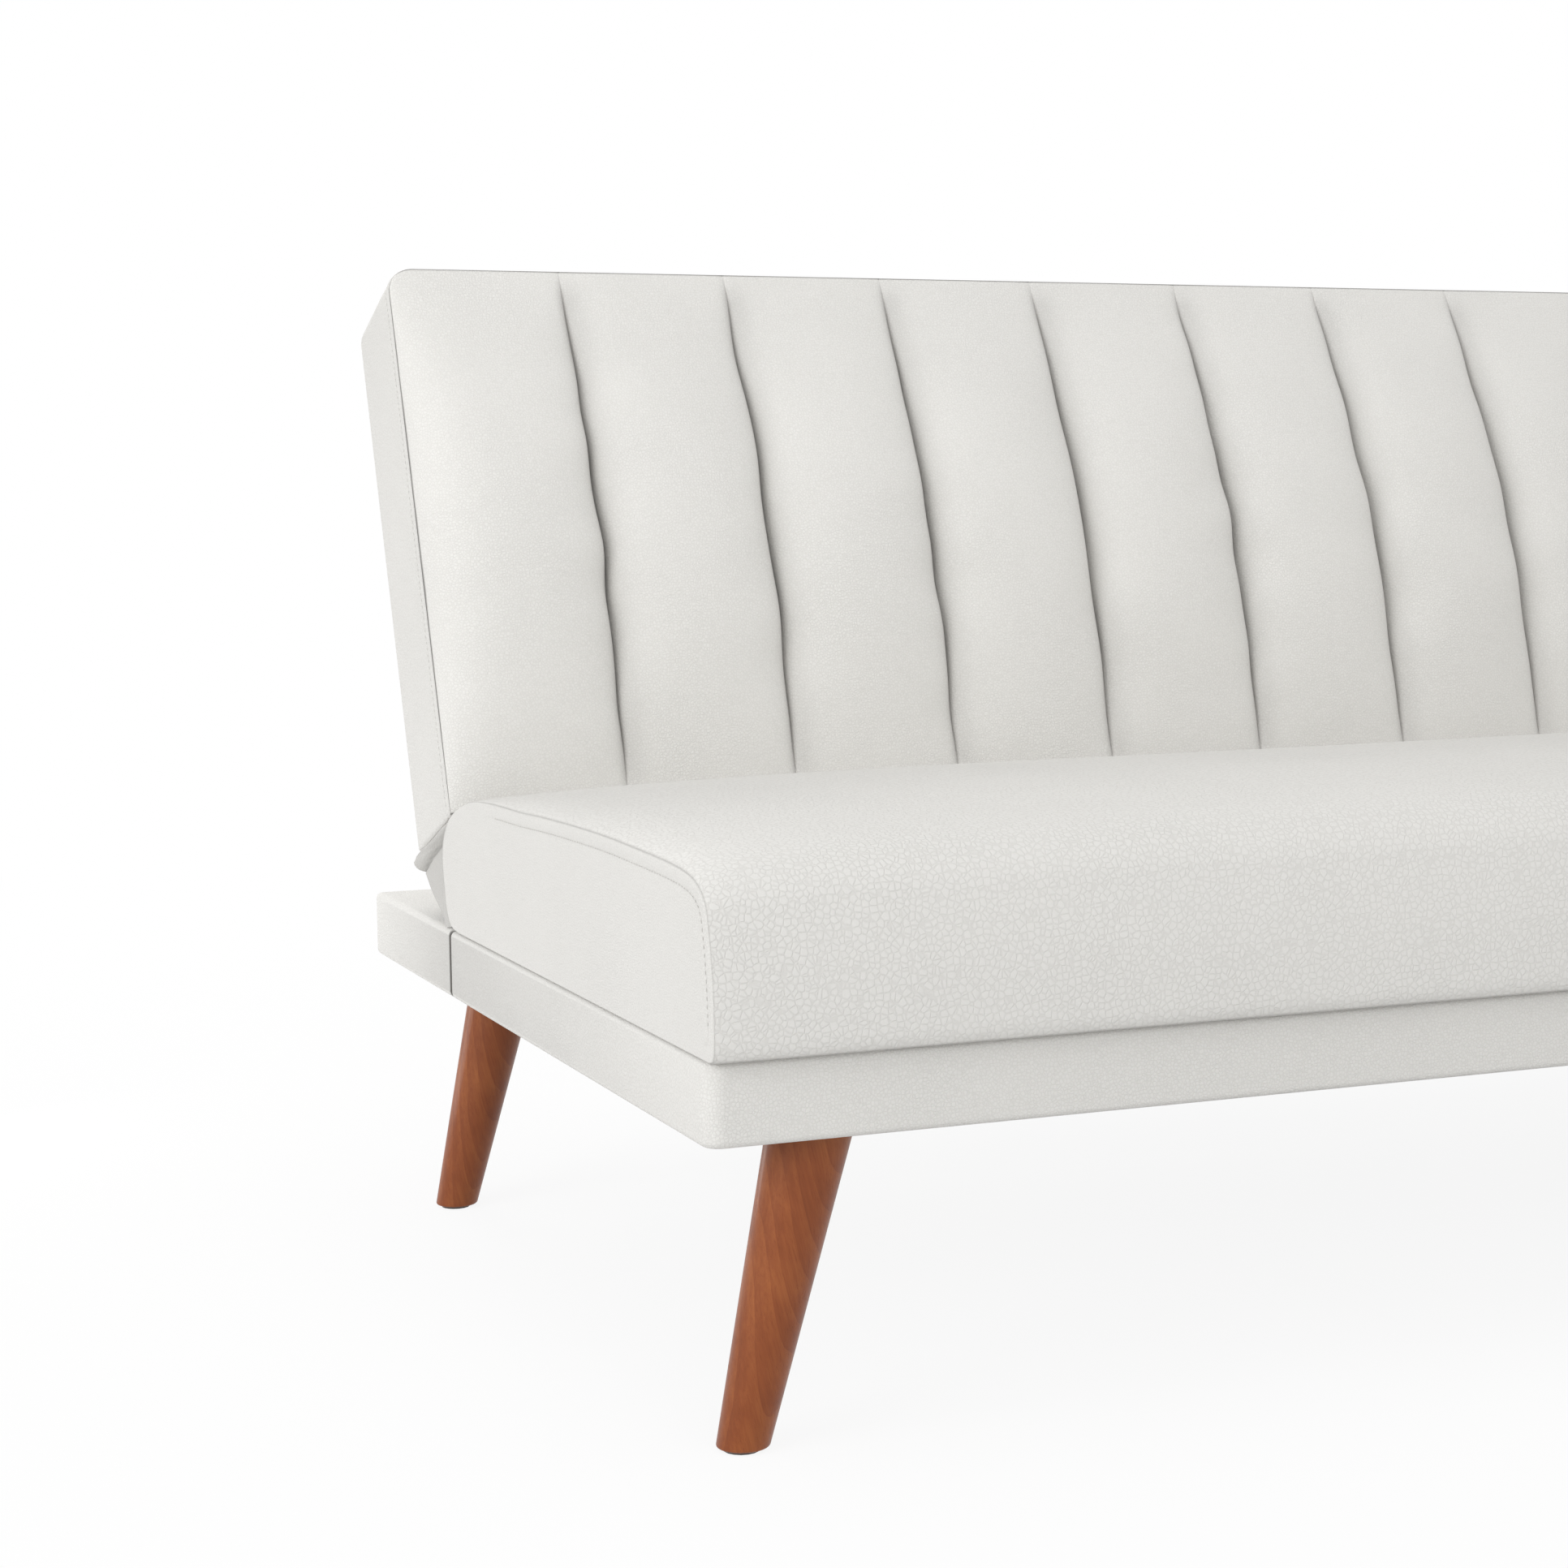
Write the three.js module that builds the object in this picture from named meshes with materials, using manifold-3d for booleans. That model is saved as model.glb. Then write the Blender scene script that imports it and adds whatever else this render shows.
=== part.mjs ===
import * as THREE from "three";
import { mergeVertices } from "three/addons/utils/BufferGeometryUtils.js";
import Module from "manifold-3d";

const wasm = await Module();
wasm.setup();

// A click clack sofa bed without arms: a channelled back that reclines in steps down to a flat bed.
// X runs across the sofa, Y from its front to its rear, Z up from the floor. Lengths are millimetres.

// Overall sizes
const sofaWidth = 2070;
const legHeight = 211;
const baseHeight = 55;
const frontBaseDepth = 604;
const rearBaseDepth = 250;
const baseSplit = 4;
const seatOverhang = 12;
const seatFrontOverhang = 14;
const seatHeight = 129;
const backHeight = 474;
const backThickness = 115;
const backReclineDegrees = 21.1;

// Clearances and overruns
const fitGap = 0.3;
const cutOverrun = 6;
const flatClearance = 2;

// Seat cushion
const seatCrown = 10;
const seatEndRound = 6;
const seatRecessInset = 60;
const seatRecessDepth = 10;

// Back cushion
const channelCount = 14;
const channelCrown = 44;
const channelValley = 31;
const backTopSlope = 2;
const backWall = 12;
const backTopWall = 26;
const backRecessLead = 8;

// Hinge: its axis lies below the back's bottom face and behind the seat cushion
const hingeBelowBack = 8.1;
const hingeBehindSeam = 51.3;
const hingeBehindSeat = 29;
const hingePinRadius = 5;
const hingeHeadRadius = 8.5;
const hingeHeadThickness = 3;
const hingeEyeRadius = 13;
const bracketThickness = 4;
const ratchetThickness = 5;
const ratchetTipRadius = 36.5;
const ratchetRootRadius = 33;
const ratchetPitchDegrees = 30;
const ratchetRampDegrees = 22;
const hingeStemHalfWidth = 6;
const hingeFootWidth = 40;
const hingeFootFront = 26;
const hingeFootThickness = 4;
const bracketReach = 150;
const bracketHalfWidth = 26;

// Pawl
const pawlNoseDegrees = 60;
const pawlPivotDegrees = 88;
const pawlPivotRadius = 48;
const pawlNoseRadius = 37.5;
const pawlNoseHalfWidth = 2.2;
const pawlEyeRadius = 8;
const pawlPinRadius = 3.5;
const pawlPinHeadRadius = 6;

// Base frames and their covers
const coverThickness = 2;
const coverEdgeRadius = 5;
const coverFrontCornerRadius = 13;
const coverRearCornerRadius = 6;
const coverLip = 25;
const railThickness = 40;
const crossRailThickness = 30;
const crossRailHeight = 32;
const crossRailPlaceShare = 0.32;
const topBoardThickness = 4;
const dustCoverThickness = 1.5;

// Legs
const legFootRadius = 17;
const legTaperShare = 0.0515;
const legSplayShare = 0.239;
const legInset = 43.8;
const frontLegInset = 64;
const rearLegInset = 82;
const glideRadius = 12;
const glideThickness = 2;
const cornerBlockWidth = 112;
const cornerBlockDepth = 66;
const hangerBoltRadius = 4;
const hangerBoltDepth = 38;
const hangerBoltRise = 30;

// Springs, straps and back frame
const springCount = 6;
const springTieRadius = 1.2;
const springWireRadius = 1.6;
const springSwing = 22;
const springHalfWave = 34;
const springClipLength = 14;
const springClipWidth = 12;
const springClipThickness = 1.5;
const backSideRail = 22;
const backCrossRail = 25;
const backUprightWidth = 30;
const strapCount = 6;
const strapWidth = 50;
const strapThickness = 1.5;
const crossStrapCount = 2;
const rearPanelThickness = 4;
const rearPanelInset = 1.5;
const gussetThickness = 2;
const gussetInset = 4;
const gussetDrop = 65;

// Fasteners
const boltRadius = 4;
const boltHeadRadius = 7.5;
const boltHeadThickness = 4.5;
const joiningBoltInset = 235;
const joiningWasherRadius = 11;
const hingeBoltRadius = 3;
const hingeBoltHeadRadius = 5.5;
const hingeBoltHeadThickness = 3;
const hingeBoltDepth = 32;
const hingeBoltSpacing = 18;
const bracketBoltHeight = 120;
const bracketBoltSpacing = 25;
const bracketBoltInset = 14;

// Places that follow from the sizes above
const halfWidth = sofaWidth / 2;
const seatDepth = frontBaseDepth + seatOverhang;
const seatLength = seatDepth + seatFrontOverhang;
const baseTop = legHeight + baseHeight;
const seatBottom = baseTop + fitGap;
const rearBaseFront = frontBaseDepth + baseSplit;
const rearBaseRear = rearBaseFront + rearBaseDepth;
const rearLegY = rearBaseRear - rearLegInset;
const crossRailOffset = crossRailPlaceShare * halfWidth;
const joiningBoltOffset = halfWidth - joiningBoltInset;
const recline = THREE.MathUtils.degToRad(backReclineDegrees);
const rearFace = backThickness - hingeBehindSeam;
const seamFace = -hingeBehindSeam;
const hingeY = seatDepth + hingeBehindSeat;
const hingeZ = baseTop + flatClearance + rearFace;
const backBottom = hingeBelowBack;
const backTop = backBottom + backHeight;
const panelFront = rearFace - rearPanelThickness;
const frameRear = panelFront - fitGap;
const recessFront = -backRecessLead;
const frameFront = strapThickness + fitGap;
const sideRailOuter = halfWidth - backWall - fitGap;
const sideRailInner = sideRailOuter - backSideRail;
const bracketOuter = sideRailInner - fitGap;
const bracketInner = bracketOuter - bracketThickness;
const ratchetOuter = bracketInner - 2 * fitGap;
const ratchetInner = ratchetOuter - ratchetThickness;
const pawlTop = pawlPivotRadius + pawlEyeRadius;
const pocketTop = pawlTop + pawlEyeRadius + cutOverrun;
const bottomRail = pocketTop + fitGap;

// Materials in the photograph's colours
function finish(color, roughness, metalness) {
  return new THREE.MeshStandardMaterial({ color, roughness, metalness });
}
const leather = finish(0xe8e6e0, 0.5, 0);
const stainedWood = finish(0x8a4a30, 0.35, 0);
const timber = finish(0xc9a877, 0.8, 0);
const board = finish(0xa98558, 0.85, 0);
const steel = finish(0x9a9c9e, 0.4, 1);
const blackSteel = finish(0x2b2c2e, 0.5, 0.6);
const webbing = finish(0x5a564f, 0.9, 0);
const dustCloth = finish(0x26262a, 0.95, 0);
const nylon = finish(0x1d1d1f, 0.6, 0);

// Two groups hold the pieces: what stands on the floor, and what turns about the hinge axis
const sofa = new THREE.Group();
const backGroup = new THREE.Group();
backGroup.position.set(0, hingeY, hingeZ);
backGroup.rotation.x = -recline;
sofa.add(backGroup);

function addPiece(parent, name, geometry, material) {
  const mesh = new THREE.Mesh(geometry, material);
  mesh.name = name;
  parent.add(mesh);
}

// Joins and cuts on closed meshes
function toSolid(geometry) {
  const plain = geometry.clone();
  plain.deleteAttribute("normal");
  plain.deleteAttribute("uv");
  const welded = mergeVertices(plain);
  return new wasm.Manifold(new wasm.Mesh({
    numProp: 3,
    vertProperties: welded.attributes.position.array,
    triVerts: new Uint32Array(welded.index.array),
  }));
}

function toGeometry(solid) {
  const mesh = solid.getMesh();
  const geometry = new THREE.BufferGeometry();
  geometry.setAttribute("position", new THREE.BufferAttribute(mesh.vertProperties, 3));
  geometry.setIndex(new THREE.BufferAttribute(mesh.triVerts, 1));
  geometry.computeVertexNormals();
  return geometry;
}

function cut(geometry, tools) {
  let solid = toSolid(geometry);
  for (const tool of tools) solid = solid.subtract(toSolid(tool));
  return toGeometry(solid);
}

function join(geometries) {
  let solid = toSolid(geometries[0]);
  for (const other of geometries.slice(1)) solid = solid.add(toSolid(other));
  return toGeometry(solid);
}

function common(geometry, other) {
  return toGeometry(toSolid(geometry).intersect(toSolid(other)));
}

// Shapes that repeat
function block(low, high) {
  const size = high.map((value, axis) => value - low[axis]);
  const middle = high.map((value, axis) => (value + low[axis]) / 2);
  return new THREE.BoxGeometry(...size).translate(...middle);
}

// A piece of one side: side is 1 on the right and -1 on the left, inner and outer count from the middle
function sideBlock(side, inner, outer, low, high) {
  const ends = [side * inner, side * outer].sort((first, second) => first - second);
  return block([ends[0], ...low], [ends[1], ...high]);
}

// A rectangle about the middle, whose corners at its far edge may have a radius of their own
function roundedRectangle(width, depth, radius, farRadius = radius) {
  const shape = new THREE.Shape();
  const [x, y] = [width / 2, depth / 2];
  shape.absarc(x - farRadius, y - farRadius, farRadius, 0, Math.PI / 2);
  shape.absarc(farRadius - x, y - farRadius, farRadius, Math.PI / 2, Math.PI);
  shape.absarc(radius - x, radius - y, radius, Math.PI, 1.5 * Math.PI);
  shape.absarc(x - radius, radius - y, radius, 1.5 * Math.PI, 2 * Math.PI);
  return shape;
}

// A block with rolled edges and upright corners of larger radii, front and rear
function rolledBlock(low, high, edge, frontCorner, rearCorner) {
  const [width, depth, height] = high.map((value, axis) => value - low[axis]);
  const outline = roundedRectangle(
    width - 2 * edge,
    depth - 2 * edge,
    frontCorner - edge,
    rearCorner - edge,
  );
  const geometry = new THREE.ExtrudeGeometry(outline, {
    depth: height - 2 * edge,
    bevelSize: edge,
    bevelThickness: edge,
    bevelSegments: 3,
    curveSegments: 3,
  });
  return geometry.translate((low[0] + high[0]) / 2, (low[1] + high[1]) / 2, low[2] + edge);
}

// An outline in the YZ plane, given thickness along X on one side
function sidePlate(shape, side, inner, outer, curveSegments = 8) {
  const options = { depth: outer - inner, bevelEnabled: false, curveSegments };
  const turned = new THREE.Matrix4().makeBasis(
    new THREE.Vector3(0, 1, 0),
    new THREE.Vector3(0, 0, 1),
    new THREE.Vector3(1, 0, 0),
  );
  const geometry = new THREE.ExtrudeGeometry(shape, options).applyMatrix4(turned);
  return geometry.translate(side > 0 ? inner : -outer, 0, 0);
}

function rod(radius, length, sides = 12) {
  return new THREE.CylinderGeometry(radius, radius, length, sides);
}

// A round piece along X on one side, from inner to outer
function sideRod(side, radius, inner, outer, y, z, sides = 16) {
  const geometry = rod(radius, outer - inner, sides).rotateZ(Math.PI / 2);
  return geometry.translate((side * (inner + outer)) / 2, y, z);
}

function uprightRod(radius, x, y, bottom, top, sides = 12) {
  const geometry = rod(radius, top - bottom, sides).rotateX(Math.PI / 2);
  return geometry.translate(x, y, (bottom + top) / 2);
}

function lengthwiseRod(radius, x, front, rear, z, sides = 12) {
  return rod(radius, rear - front, sides).translate(x, (front + rear) / 2, z);
}

// A closed body through rings of points with equal counts, each ring running the same way round
function loft(rings) {
  const count = rings[0].length;
  const points = rings.flat();
  const middleOf = (ring) => {
    const sum = ring.reduce((total, point) => total.add(point), new THREE.Vector3());
    return sum.divideScalar(count);
  };
  points.push(middleOf(rings[0]), middleOf(rings[rings.length - 1]));
  const index = [];
  for (let ring = 0; ring < rings.length - 1; ring += 1) {
    for (let step = 0; step < count; step += 1) {
      const [here, next] = [ring * count + step, ring * count + ((step + 1) % count)];
      index.push(here, next, next + count, here, next + count, here + count);
    }
  }
  const lastRing = (rings.length - 1) * count;
  for (let step = 0; step < count; step += 1) {
    const next = (step + 1) % count;
    index.push(points.length - 2, next, step);
    index.push(points.length - 1, lastRing + step, lastRing + next);
  }
  const geometry = new THREE.BufferGeometry().setFromPoints(points);
  geometry.setIndex(index);
  geometry.computeVertexNormals();
  return geometry;
}

// Base frames: each is a ring of rails that fills a rolled block, wrapped in an upholstered cover
function insetBlock(front, rear, inset) {
  const frontCorner = front < frontBaseDepth ? coverFrontCornerRadius : coverRearCornerRadius;
  return rolledBlock(
    [-halfWidth + inset, front + inset, legHeight + inset],
    [halfWidth - inset, rear - inset, baseTop - inset],
    coverEdgeRadius - inset,
    frontCorner - inset,
    coverRearCornerRadius - inset,
  );
}

const railInset = coverThickness + fitGap;
const railInner = railInset + railThickness;
const railBottom = legHeight + railInset;
const railTop = baseTop - railInset;
const boltRail = frontBaseDepth - railInner;
const joiningBoltZ = legHeight + baseHeight / 2;

function joiningHoles() {
  return [-joiningBoltOffset, joiningBoltOffset].map((x) => lengthwiseRod(
    boltRadius + fitGap,
    x,
    boltRail - cutOverrun,
    rearBaseFront + railInner + cutOverrun,
    joiningBoltZ,
  ));
}

const hingeFootRear = hingeY + hingeStemHalfWidth;
const hingeFootY = hingeY - (hingeFootFront - hingeStemHalfWidth) / 2;
const hingeFootInner = ratchetOuter - hingeFootWidth;
const hingeBoltPlaces = [-1, 1].flatMap((side) => [-1, 1].map((step) => {
  const middle = (hingeFootInner + ratchetInner) / 2 - fitGap;
  return [side * (middle + (step * hingeBoltSpacing) / 2), hingeFootY];
}));

function hingeBoltHoles() {
  return hingeBoltPlaces.map(([x, y]) => uprightRod(
    hingeBoltRadius + fitGap,
    x,
    y,
    railBottom - cutOverrun,
    baseTop + hingeFootThickness + cutOverrun,
    10,
  ));
}

function addRails(name, front, rear, top, holes) {
  const body = insetBlock(front, rear, railInset);
  const [low, high] = [-halfWidth - cutOverrun, halfWidth + cutOverrun];
  const [frontEdge, rearEdge] = [front + railInner, rear - railInner];
  const sideInner = halfWidth - railInner;
  const floor = legHeight - cutOverrun;
  const frontPart = block([low, front - cutOverrun, floor], [high, frontEdge, top]);
  const rearPart = block([low, rearEdge, floor], [high, rear + cutOverrun, top]);
  addPiece(sofa, `${name}_front_rail`, cut(common(body, frontPart), holes), timber);
  addPiece(sofa, `${name}_rear_rail`, cut(common(body, rearPart), holes), timber);
  for (const [side, word] of [[-1, "left"], [1, "right"]]) {
    const part = sideBlock(
      side,
      sideInner,
      high,
      [frontEdge + fitGap, floor],
      [rearEdge - fitGap, top],
    );
    addPiece(sofa, `${name}_${word}_rail`, common(body, part), timber);
  }
}

function addCover(name, front, rear, holes, topOpen) {
  const outer = insetBlock(front, rear, 0);
  const hollow = insetBlock(front, rear, coverThickness);
  const inner = halfWidth - coverLip;
  const openingTop = topOpen ? baseTop + cutOverrun : baseTop - coverEdgeRadius;
  const opening = block(
    [-inner, front + coverLip, legHeight - cutOverrun],
    [inner, rear - coverLip, openingTop],
  );
  addPiece(sofa, `${name}_cover`, cut(outer, [hollow, opening, ...holes]), leather);
}

function addDustCover(name, front, rear, holes) {
  const inner = halfWidth - coverLip - fitGap;
  const bottom = legHeight + fitGap;
  const sheet = block(
    [-inner, front + coverLip + fitGap, bottom],
    [inner, rear - coverLip - fitGap, bottom + dustCoverThickness],
  );
  addPiece(sofa, `${name}_dust_cover`, cut(sheet, holes), dustCloth);
}

// Legs stand splayed to the sides, cut flat at the floor and under the base
const splay = Math.atan(legSplayShare);
const legTopX = halfWidth - legInset - legSplayShare * legHeight;
const legTop = legHeight - fitGap;
const legPlaces = [
  ["front_left", -1, frontLegInset],
  ["front_right", 1, frontLegInset],
  ["rear_left", -1, rearLegY],
  ["rear_right", 1, rearLegY],
];

function legHoles() {
  return legPlaces.map(([, side, y]) => uprightRod(
    hangerBoltRadius + fitGap,
    side * legTopX,
    y,
    legHeight - hangerBoltDepth - fitGap,
    legHeight + hangerBoltRise + fitGap,
  ));
}

function legGeometry(side, y) {
  const length = legHeight / Math.cos(splay);
  const radiusAt = (distance) => legFootRadius + legTaperShare * distance;
  const [start, end] = [-cutOverrun - legFootRadius, length + cutOverrun + legFootRadius];
  const profile = [
    new THREE.Vector2(0, start),
    new THREE.Vector2(radiusAt(start), start),
    new THREE.Vector2(radiusAt(end), end),
    new THREE.Vector2(0, end),
  ];
  const turned = new THREE.LatheGeometry(profile, 20).rotateX(Math.PI / 2).rotateY(-side * splay);
  turned.translate(side * (halfWidth - legInset), y, 0);
  const reach = halfWidth + cutOverrun;
  const slab = block([-reach, 0, glideThickness + fitGap], [reach, rearBaseRear, legTop]);
  return common(turned, slab);
}

function cornerBlock(side, y) {
  const outer = halfWidth - railInner - fitGap;
  const rearmost = rearBaseRear - railInner - fitGap;
  const front = y < frontBaseDepth ? railInner + fitGap : rearmost - cornerBlockDepth;
  const bevel = cornerBlockDepth / 2;
  const corners = y < frontBaseDepth
    ? [[outer, front], [outer, front + cornerBlockDepth],
      [outer - cornerBlockWidth + bevel, front + cornerBlockDepth],
      [outer - cornerBlockWidth, front + bevel], [outer - cornerBlockWidth, front]]
    : [[outer, front], [outer, rearmost], [outer - cornerBlockWidth, rearmost],
      [outer - cornerBlockWidth, front + bevel], [outer - cornerBlockWidth + bevel, front]];
  const shape = new THREE.Shape(corners.map(([x, depth]) => new THREE.Vector2(side * x, depth)));
  const options = { depth: hangerBoltRise, bevelEnabled: false };
  return new THREE.ExtrudeGeometry(shape, options).translate(0, 0, railBottom);
}

function addLegs() {
  const holes = legHoles();
  for (const [word, side, y] of legPlaces) {
    addPiece(sofa, `leg_${word}`, cut(legGeometry(side, y), holes), stainedWood);
    addPiece(sofa, `corner_block_${word}`, cut(cornerBlock(side, y), holes), timber);
    addPiece(sofa, `hanger_bolt_${word}`, uprightRod(
      hangerBoltRadius,
      side * legTopX,
      y,
      legHeight - hangerBoltDepth,
      legHeight + hangerBoltRise,
    ), steel);
    const footX = side * (halfWidth - legInset);
    const glide = uprightRod(glideRadius, footX, y, 0, glideThickness, 16);
    addPiece(sofa, `foot_glide_${word}`, glide, nylon);
  }
}

// Bolts along Y hold the two bases together, with washers that keep them apart
function addJoiningBolts() {
  const [head, end] = [boltRail - fitGap, rearBaseFront + railInner + fitGap];
  const [front, rear] = [frontBaseDepth + fitGap, rearBaseFront - fitGap];
  for (const [x, word] of [[-joiningBoltOffset, "left"], [joiningBoltOffset, "right"]]) {
    addPiece(sofa, `joining_bolt_${word}`, join([
      lengthwiseRod(boltRadius, x, head - boltHeadThickness, end + boltHeadThickness, joiningBoltZ, 10),
      lengthwiseRod(boltHeadRadius, x, head - boltHeadThickness, head, joiningBoltZ, 6),
      lengthwiseRod(boltHeadRadius, x, end, end + boltHeadThickness, joiningBoltZ, 6),
    ]), steel);
    const washer = lengthwiseRod(joiningWasherRadius, x, front, rear, joiningBoltZ, 16);
    addPiece(sofa, `joining_washer_${word}`, cut(washer, joiningHoles()), steel);
  }
}

// Seat cushion: this side profile, in shares of the seat's length and height, keeps its crown and soft edges
const seatProfileShares = [
  [0, 0], [0.9472, 0], [0.9903, 0.06], [1, 0.184], [0.9936, 0.331], [0.9844, 0.478], [0.9649, 0.633],
  [0.943, 0.734], [0.8984, 0.833], [0.8074, 0.905], [0.7204, 0.949], [0.606, 0.979], [0.3665, 1],
  [0.2356, 0.992], [0.1166, 0.975], [0.077, 0.958], [0.0515, 0.928], [0.0325, 0.874], [0.0182, 0.788],
  [0.0103, 0.664], [0.0039, 0.517], [-0.0009, 0.339], [-0.0025, 0.145],
];
const seatStationShares = [0, 0.3, 0.6, 0.82, 0.94];

function seatRing(x, endShare, inset) {
  const rise = seatCrown * (1 - endShare ** 4);
  return seatProfileShares.map(([along, up]) => {
    const y = THREE.MathUtils.lerp(seatLength / 2, along * seatLength, 1 - inset / seatLength);
    const top = up * (seatHeight - inset) + rise * up ** 2;
    return new THREE.Vector3(x, y - seatFrontOverhang, seatBottom + top);
  });
}

function seatCushion() {
  const shares = [...seatStationShares.slice(1).map((share) => -share).reverse(), ...seatStationShares];
  const inner = shares.map((share) => seatRing(share * halfWidth, Math.abs(share), 0));
  const end = halfWidth - seatEndRound;
  const rings = [
    seatRing(-halfWidth, 1, seatEndRound),
    seatRing(-end, 1, 0),
    ...inner,
    seatRing(end, 1, 0),
    seatRing(halfWidth, 1, seatEndRound),
  ];
  const across = halfWidth - seatRecessInset;
  const recess = block(
    [-across, coverLip, seatBottom - cutOverrun],
    [across, frontBaseDepth - coverLip, seatBottom + seatRecessDepth],
  );
  return cut(loft(rings), [recess]);
}

// Zigzag seat springs run from clips on the front rail to clips on the rear rail, tied by a wire across
const springZ = railTop + springClipThickness + springWireRadius + fitGap;
const springFront = coverLip + springClipLength / 2;
const springRear = frontBaseDepth - springFront;

function springPlaces() {
  const reach = halfWidth - seatRecessInset - springSwing - springClipWidth;
  return Array.from({ length: springCount }, (unused, step) => (
    THREE.MathUtils.lerp(-reach, reach, step / (springCount - 1))
  ));
}

function zigzagSpring(x) {
  const waves = Math.round((springRear - springFront) / springHalfWave);
  const points = [new THREE.Vector3(x, springFront, springZ)];
  for (let step = 1; step < 2 * waves; step += 1) {
    const swing = springSwing * Math.sin((step * Math.PI) / 2);
    const y = THREE.MathUtils.lerp(springFront, springRear, step / (2 * waves));
    points.push(new THREE.Vector3(x + swing, y, springZ));
  }
  points.push(new THREE.Vector3(x, springRear, springZ));
  const section = new THREE.Shape();
  section.absarc(0, 0, springWireRadius, 0, 2 * Math.PI);
  return new THREE.ExtrudeGeometry(section, {
    steps: 2 * waves,
    extrudePath: new THREE.CatmullRomCurve3(points),
    curveSegments: 2,
    bevelEnabled: false,
  });
}

function seatSprings() {
  const places = springPlaces();
  const clips = places.flatMap((x) => [springClip(x, springFront), springClip(x, springRear)]);
  const [first, last] = [places[0] - springSwing, places[places.length - 1] + springSwing];
  const tie = rod(springTieRadius, last - first, 8).rotateZ(Math.PI / 2);
  tie.translate((first + last) / 2, (springFront + springRear) / 2, springZ);
  return join([...places.map(zigzagSpring), ...clips, tie]);
}

function springClip(x, y) {
  const half = springClipWidth / 2;
  const [front, rear] = [y - springClipLength / 2 + fitGap, y + springClipLength / 2];
  return block(
    [x - half, front, railTop + fitGap],
    [x + half, rear, springZ],
  );
}

// Hinge: a ratchet plate on the rear base, a bracket in the back, a pin, and a pawl that drops into the teeth
const wallDegrees = pawlNoseDegrees - THREE.MathUtils.radToDeg(
  (pawlNoseHalfWidth + fitGap) / ratchetTipRadius,
);

function polar(radius, degrees) {
  const angle = THREE.MathUtils.degToRad(degrees);
  return new THREE.Vector2(radius * Math.cos(angle), radius * Math.sin(angle));
}

function circleHole(radius, x = 0, y = 0) {
  return new THREE.Path().absarc(x, y, radius, 0, 2 * Math.PI);
}

function ratchetShape() {
  const points = [];
  for (const tooth of [1, 0]) {
    const wall = wallDegrees - tooth * ratchetPitchDegrees;
    points.push(polar(ratchetRootRadius, wall - ratchetRampDegrees));
    points.push(polar(ratchetTipRadius, wall));
    points.push(polar(ratchetRootRadius, wall));
  }
  const lastRampStart = wallDegrees - ratchetPitchDegrees - ratchetRampDegrees + 360;
  const arcSteps = 14;
  for (let step = 1; step < arcSteps; step += 1) {
    const angle = THREE.MathUtils.lerp(wallDegrees, lastRampStart, step / arcSteps);
    points.push(polar(ratchetRootRadius, angle));
  }
  const shape = new THREE.Shape(points);
  shape.holes.push(circleHole(hingePinRadius + fitGap));
  return shape;
}

function baseBracket(side) {
  const plate = sidePlate(ratchetShape(), side, ratchetInner, ratchetOuter, 8);
  plate.translate(0, hingeY, hingeZ);
  const footBottom = baseTop + fitGap;
  const stem = sideBlock(
    side,
    ratchetInner,
    ratchetOuter,
    [hingeY - hingeFootFront, footBottom],
    [hingeFootRear, hingeZ - hingePinRadius - fitGap - hingeStemHalfWidth],
  );
  const foot = sideBlock(
    side,
    hingeFootInner,
    ratchetOuter,
    [hingeY - hingeFootFront, footBottom],
    [hingeFootRear, footBottom + hingeFootThickness],
  );
  const footTop = footBottom + hingeFootThickness;
  const bolts = hingeBoltPlaces.filter(([x]) => x * side > 0).flatMap(([x, y]) => [
    uprightRod(hingeBoltRadius, x, y, footTop - hingeBoltDepth, footTop, 10),
    uprightRod(hingeBoltHeadRadius, x, y, footTop, footTop + hingeBoltHeadThickness, 6),
  ]);
  return join([plate, stem, foot, ...bolts]);
}

function hingePin(side) {
  const [start, end] = [ratchetInner - fitGap, bracketOuter + fitGap];
  return join([
    sideRod(side, hingePinRadius, start - hingeHeadThickness, end + hingeHeadThickness, hingeY, hingeZ),
    sideRod(side, hingeHeadRadius, start - hingeHeadThickness, start, hingeY, hingeZ),
    sideRod(side, hingeHeadRadius, end, end + hingeHeadThickness, hingeY, hingeZ),
  ]);
}

const pawlPivot = polar(pawlPivotRadius, pawlPivotDegrees + backReclineDegrees);

function bracketBoltHeights() {
  return [-1, 1].map((step) => bracketBoltHeight + (step * bracketBoltSpacing) / 2);
}

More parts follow.
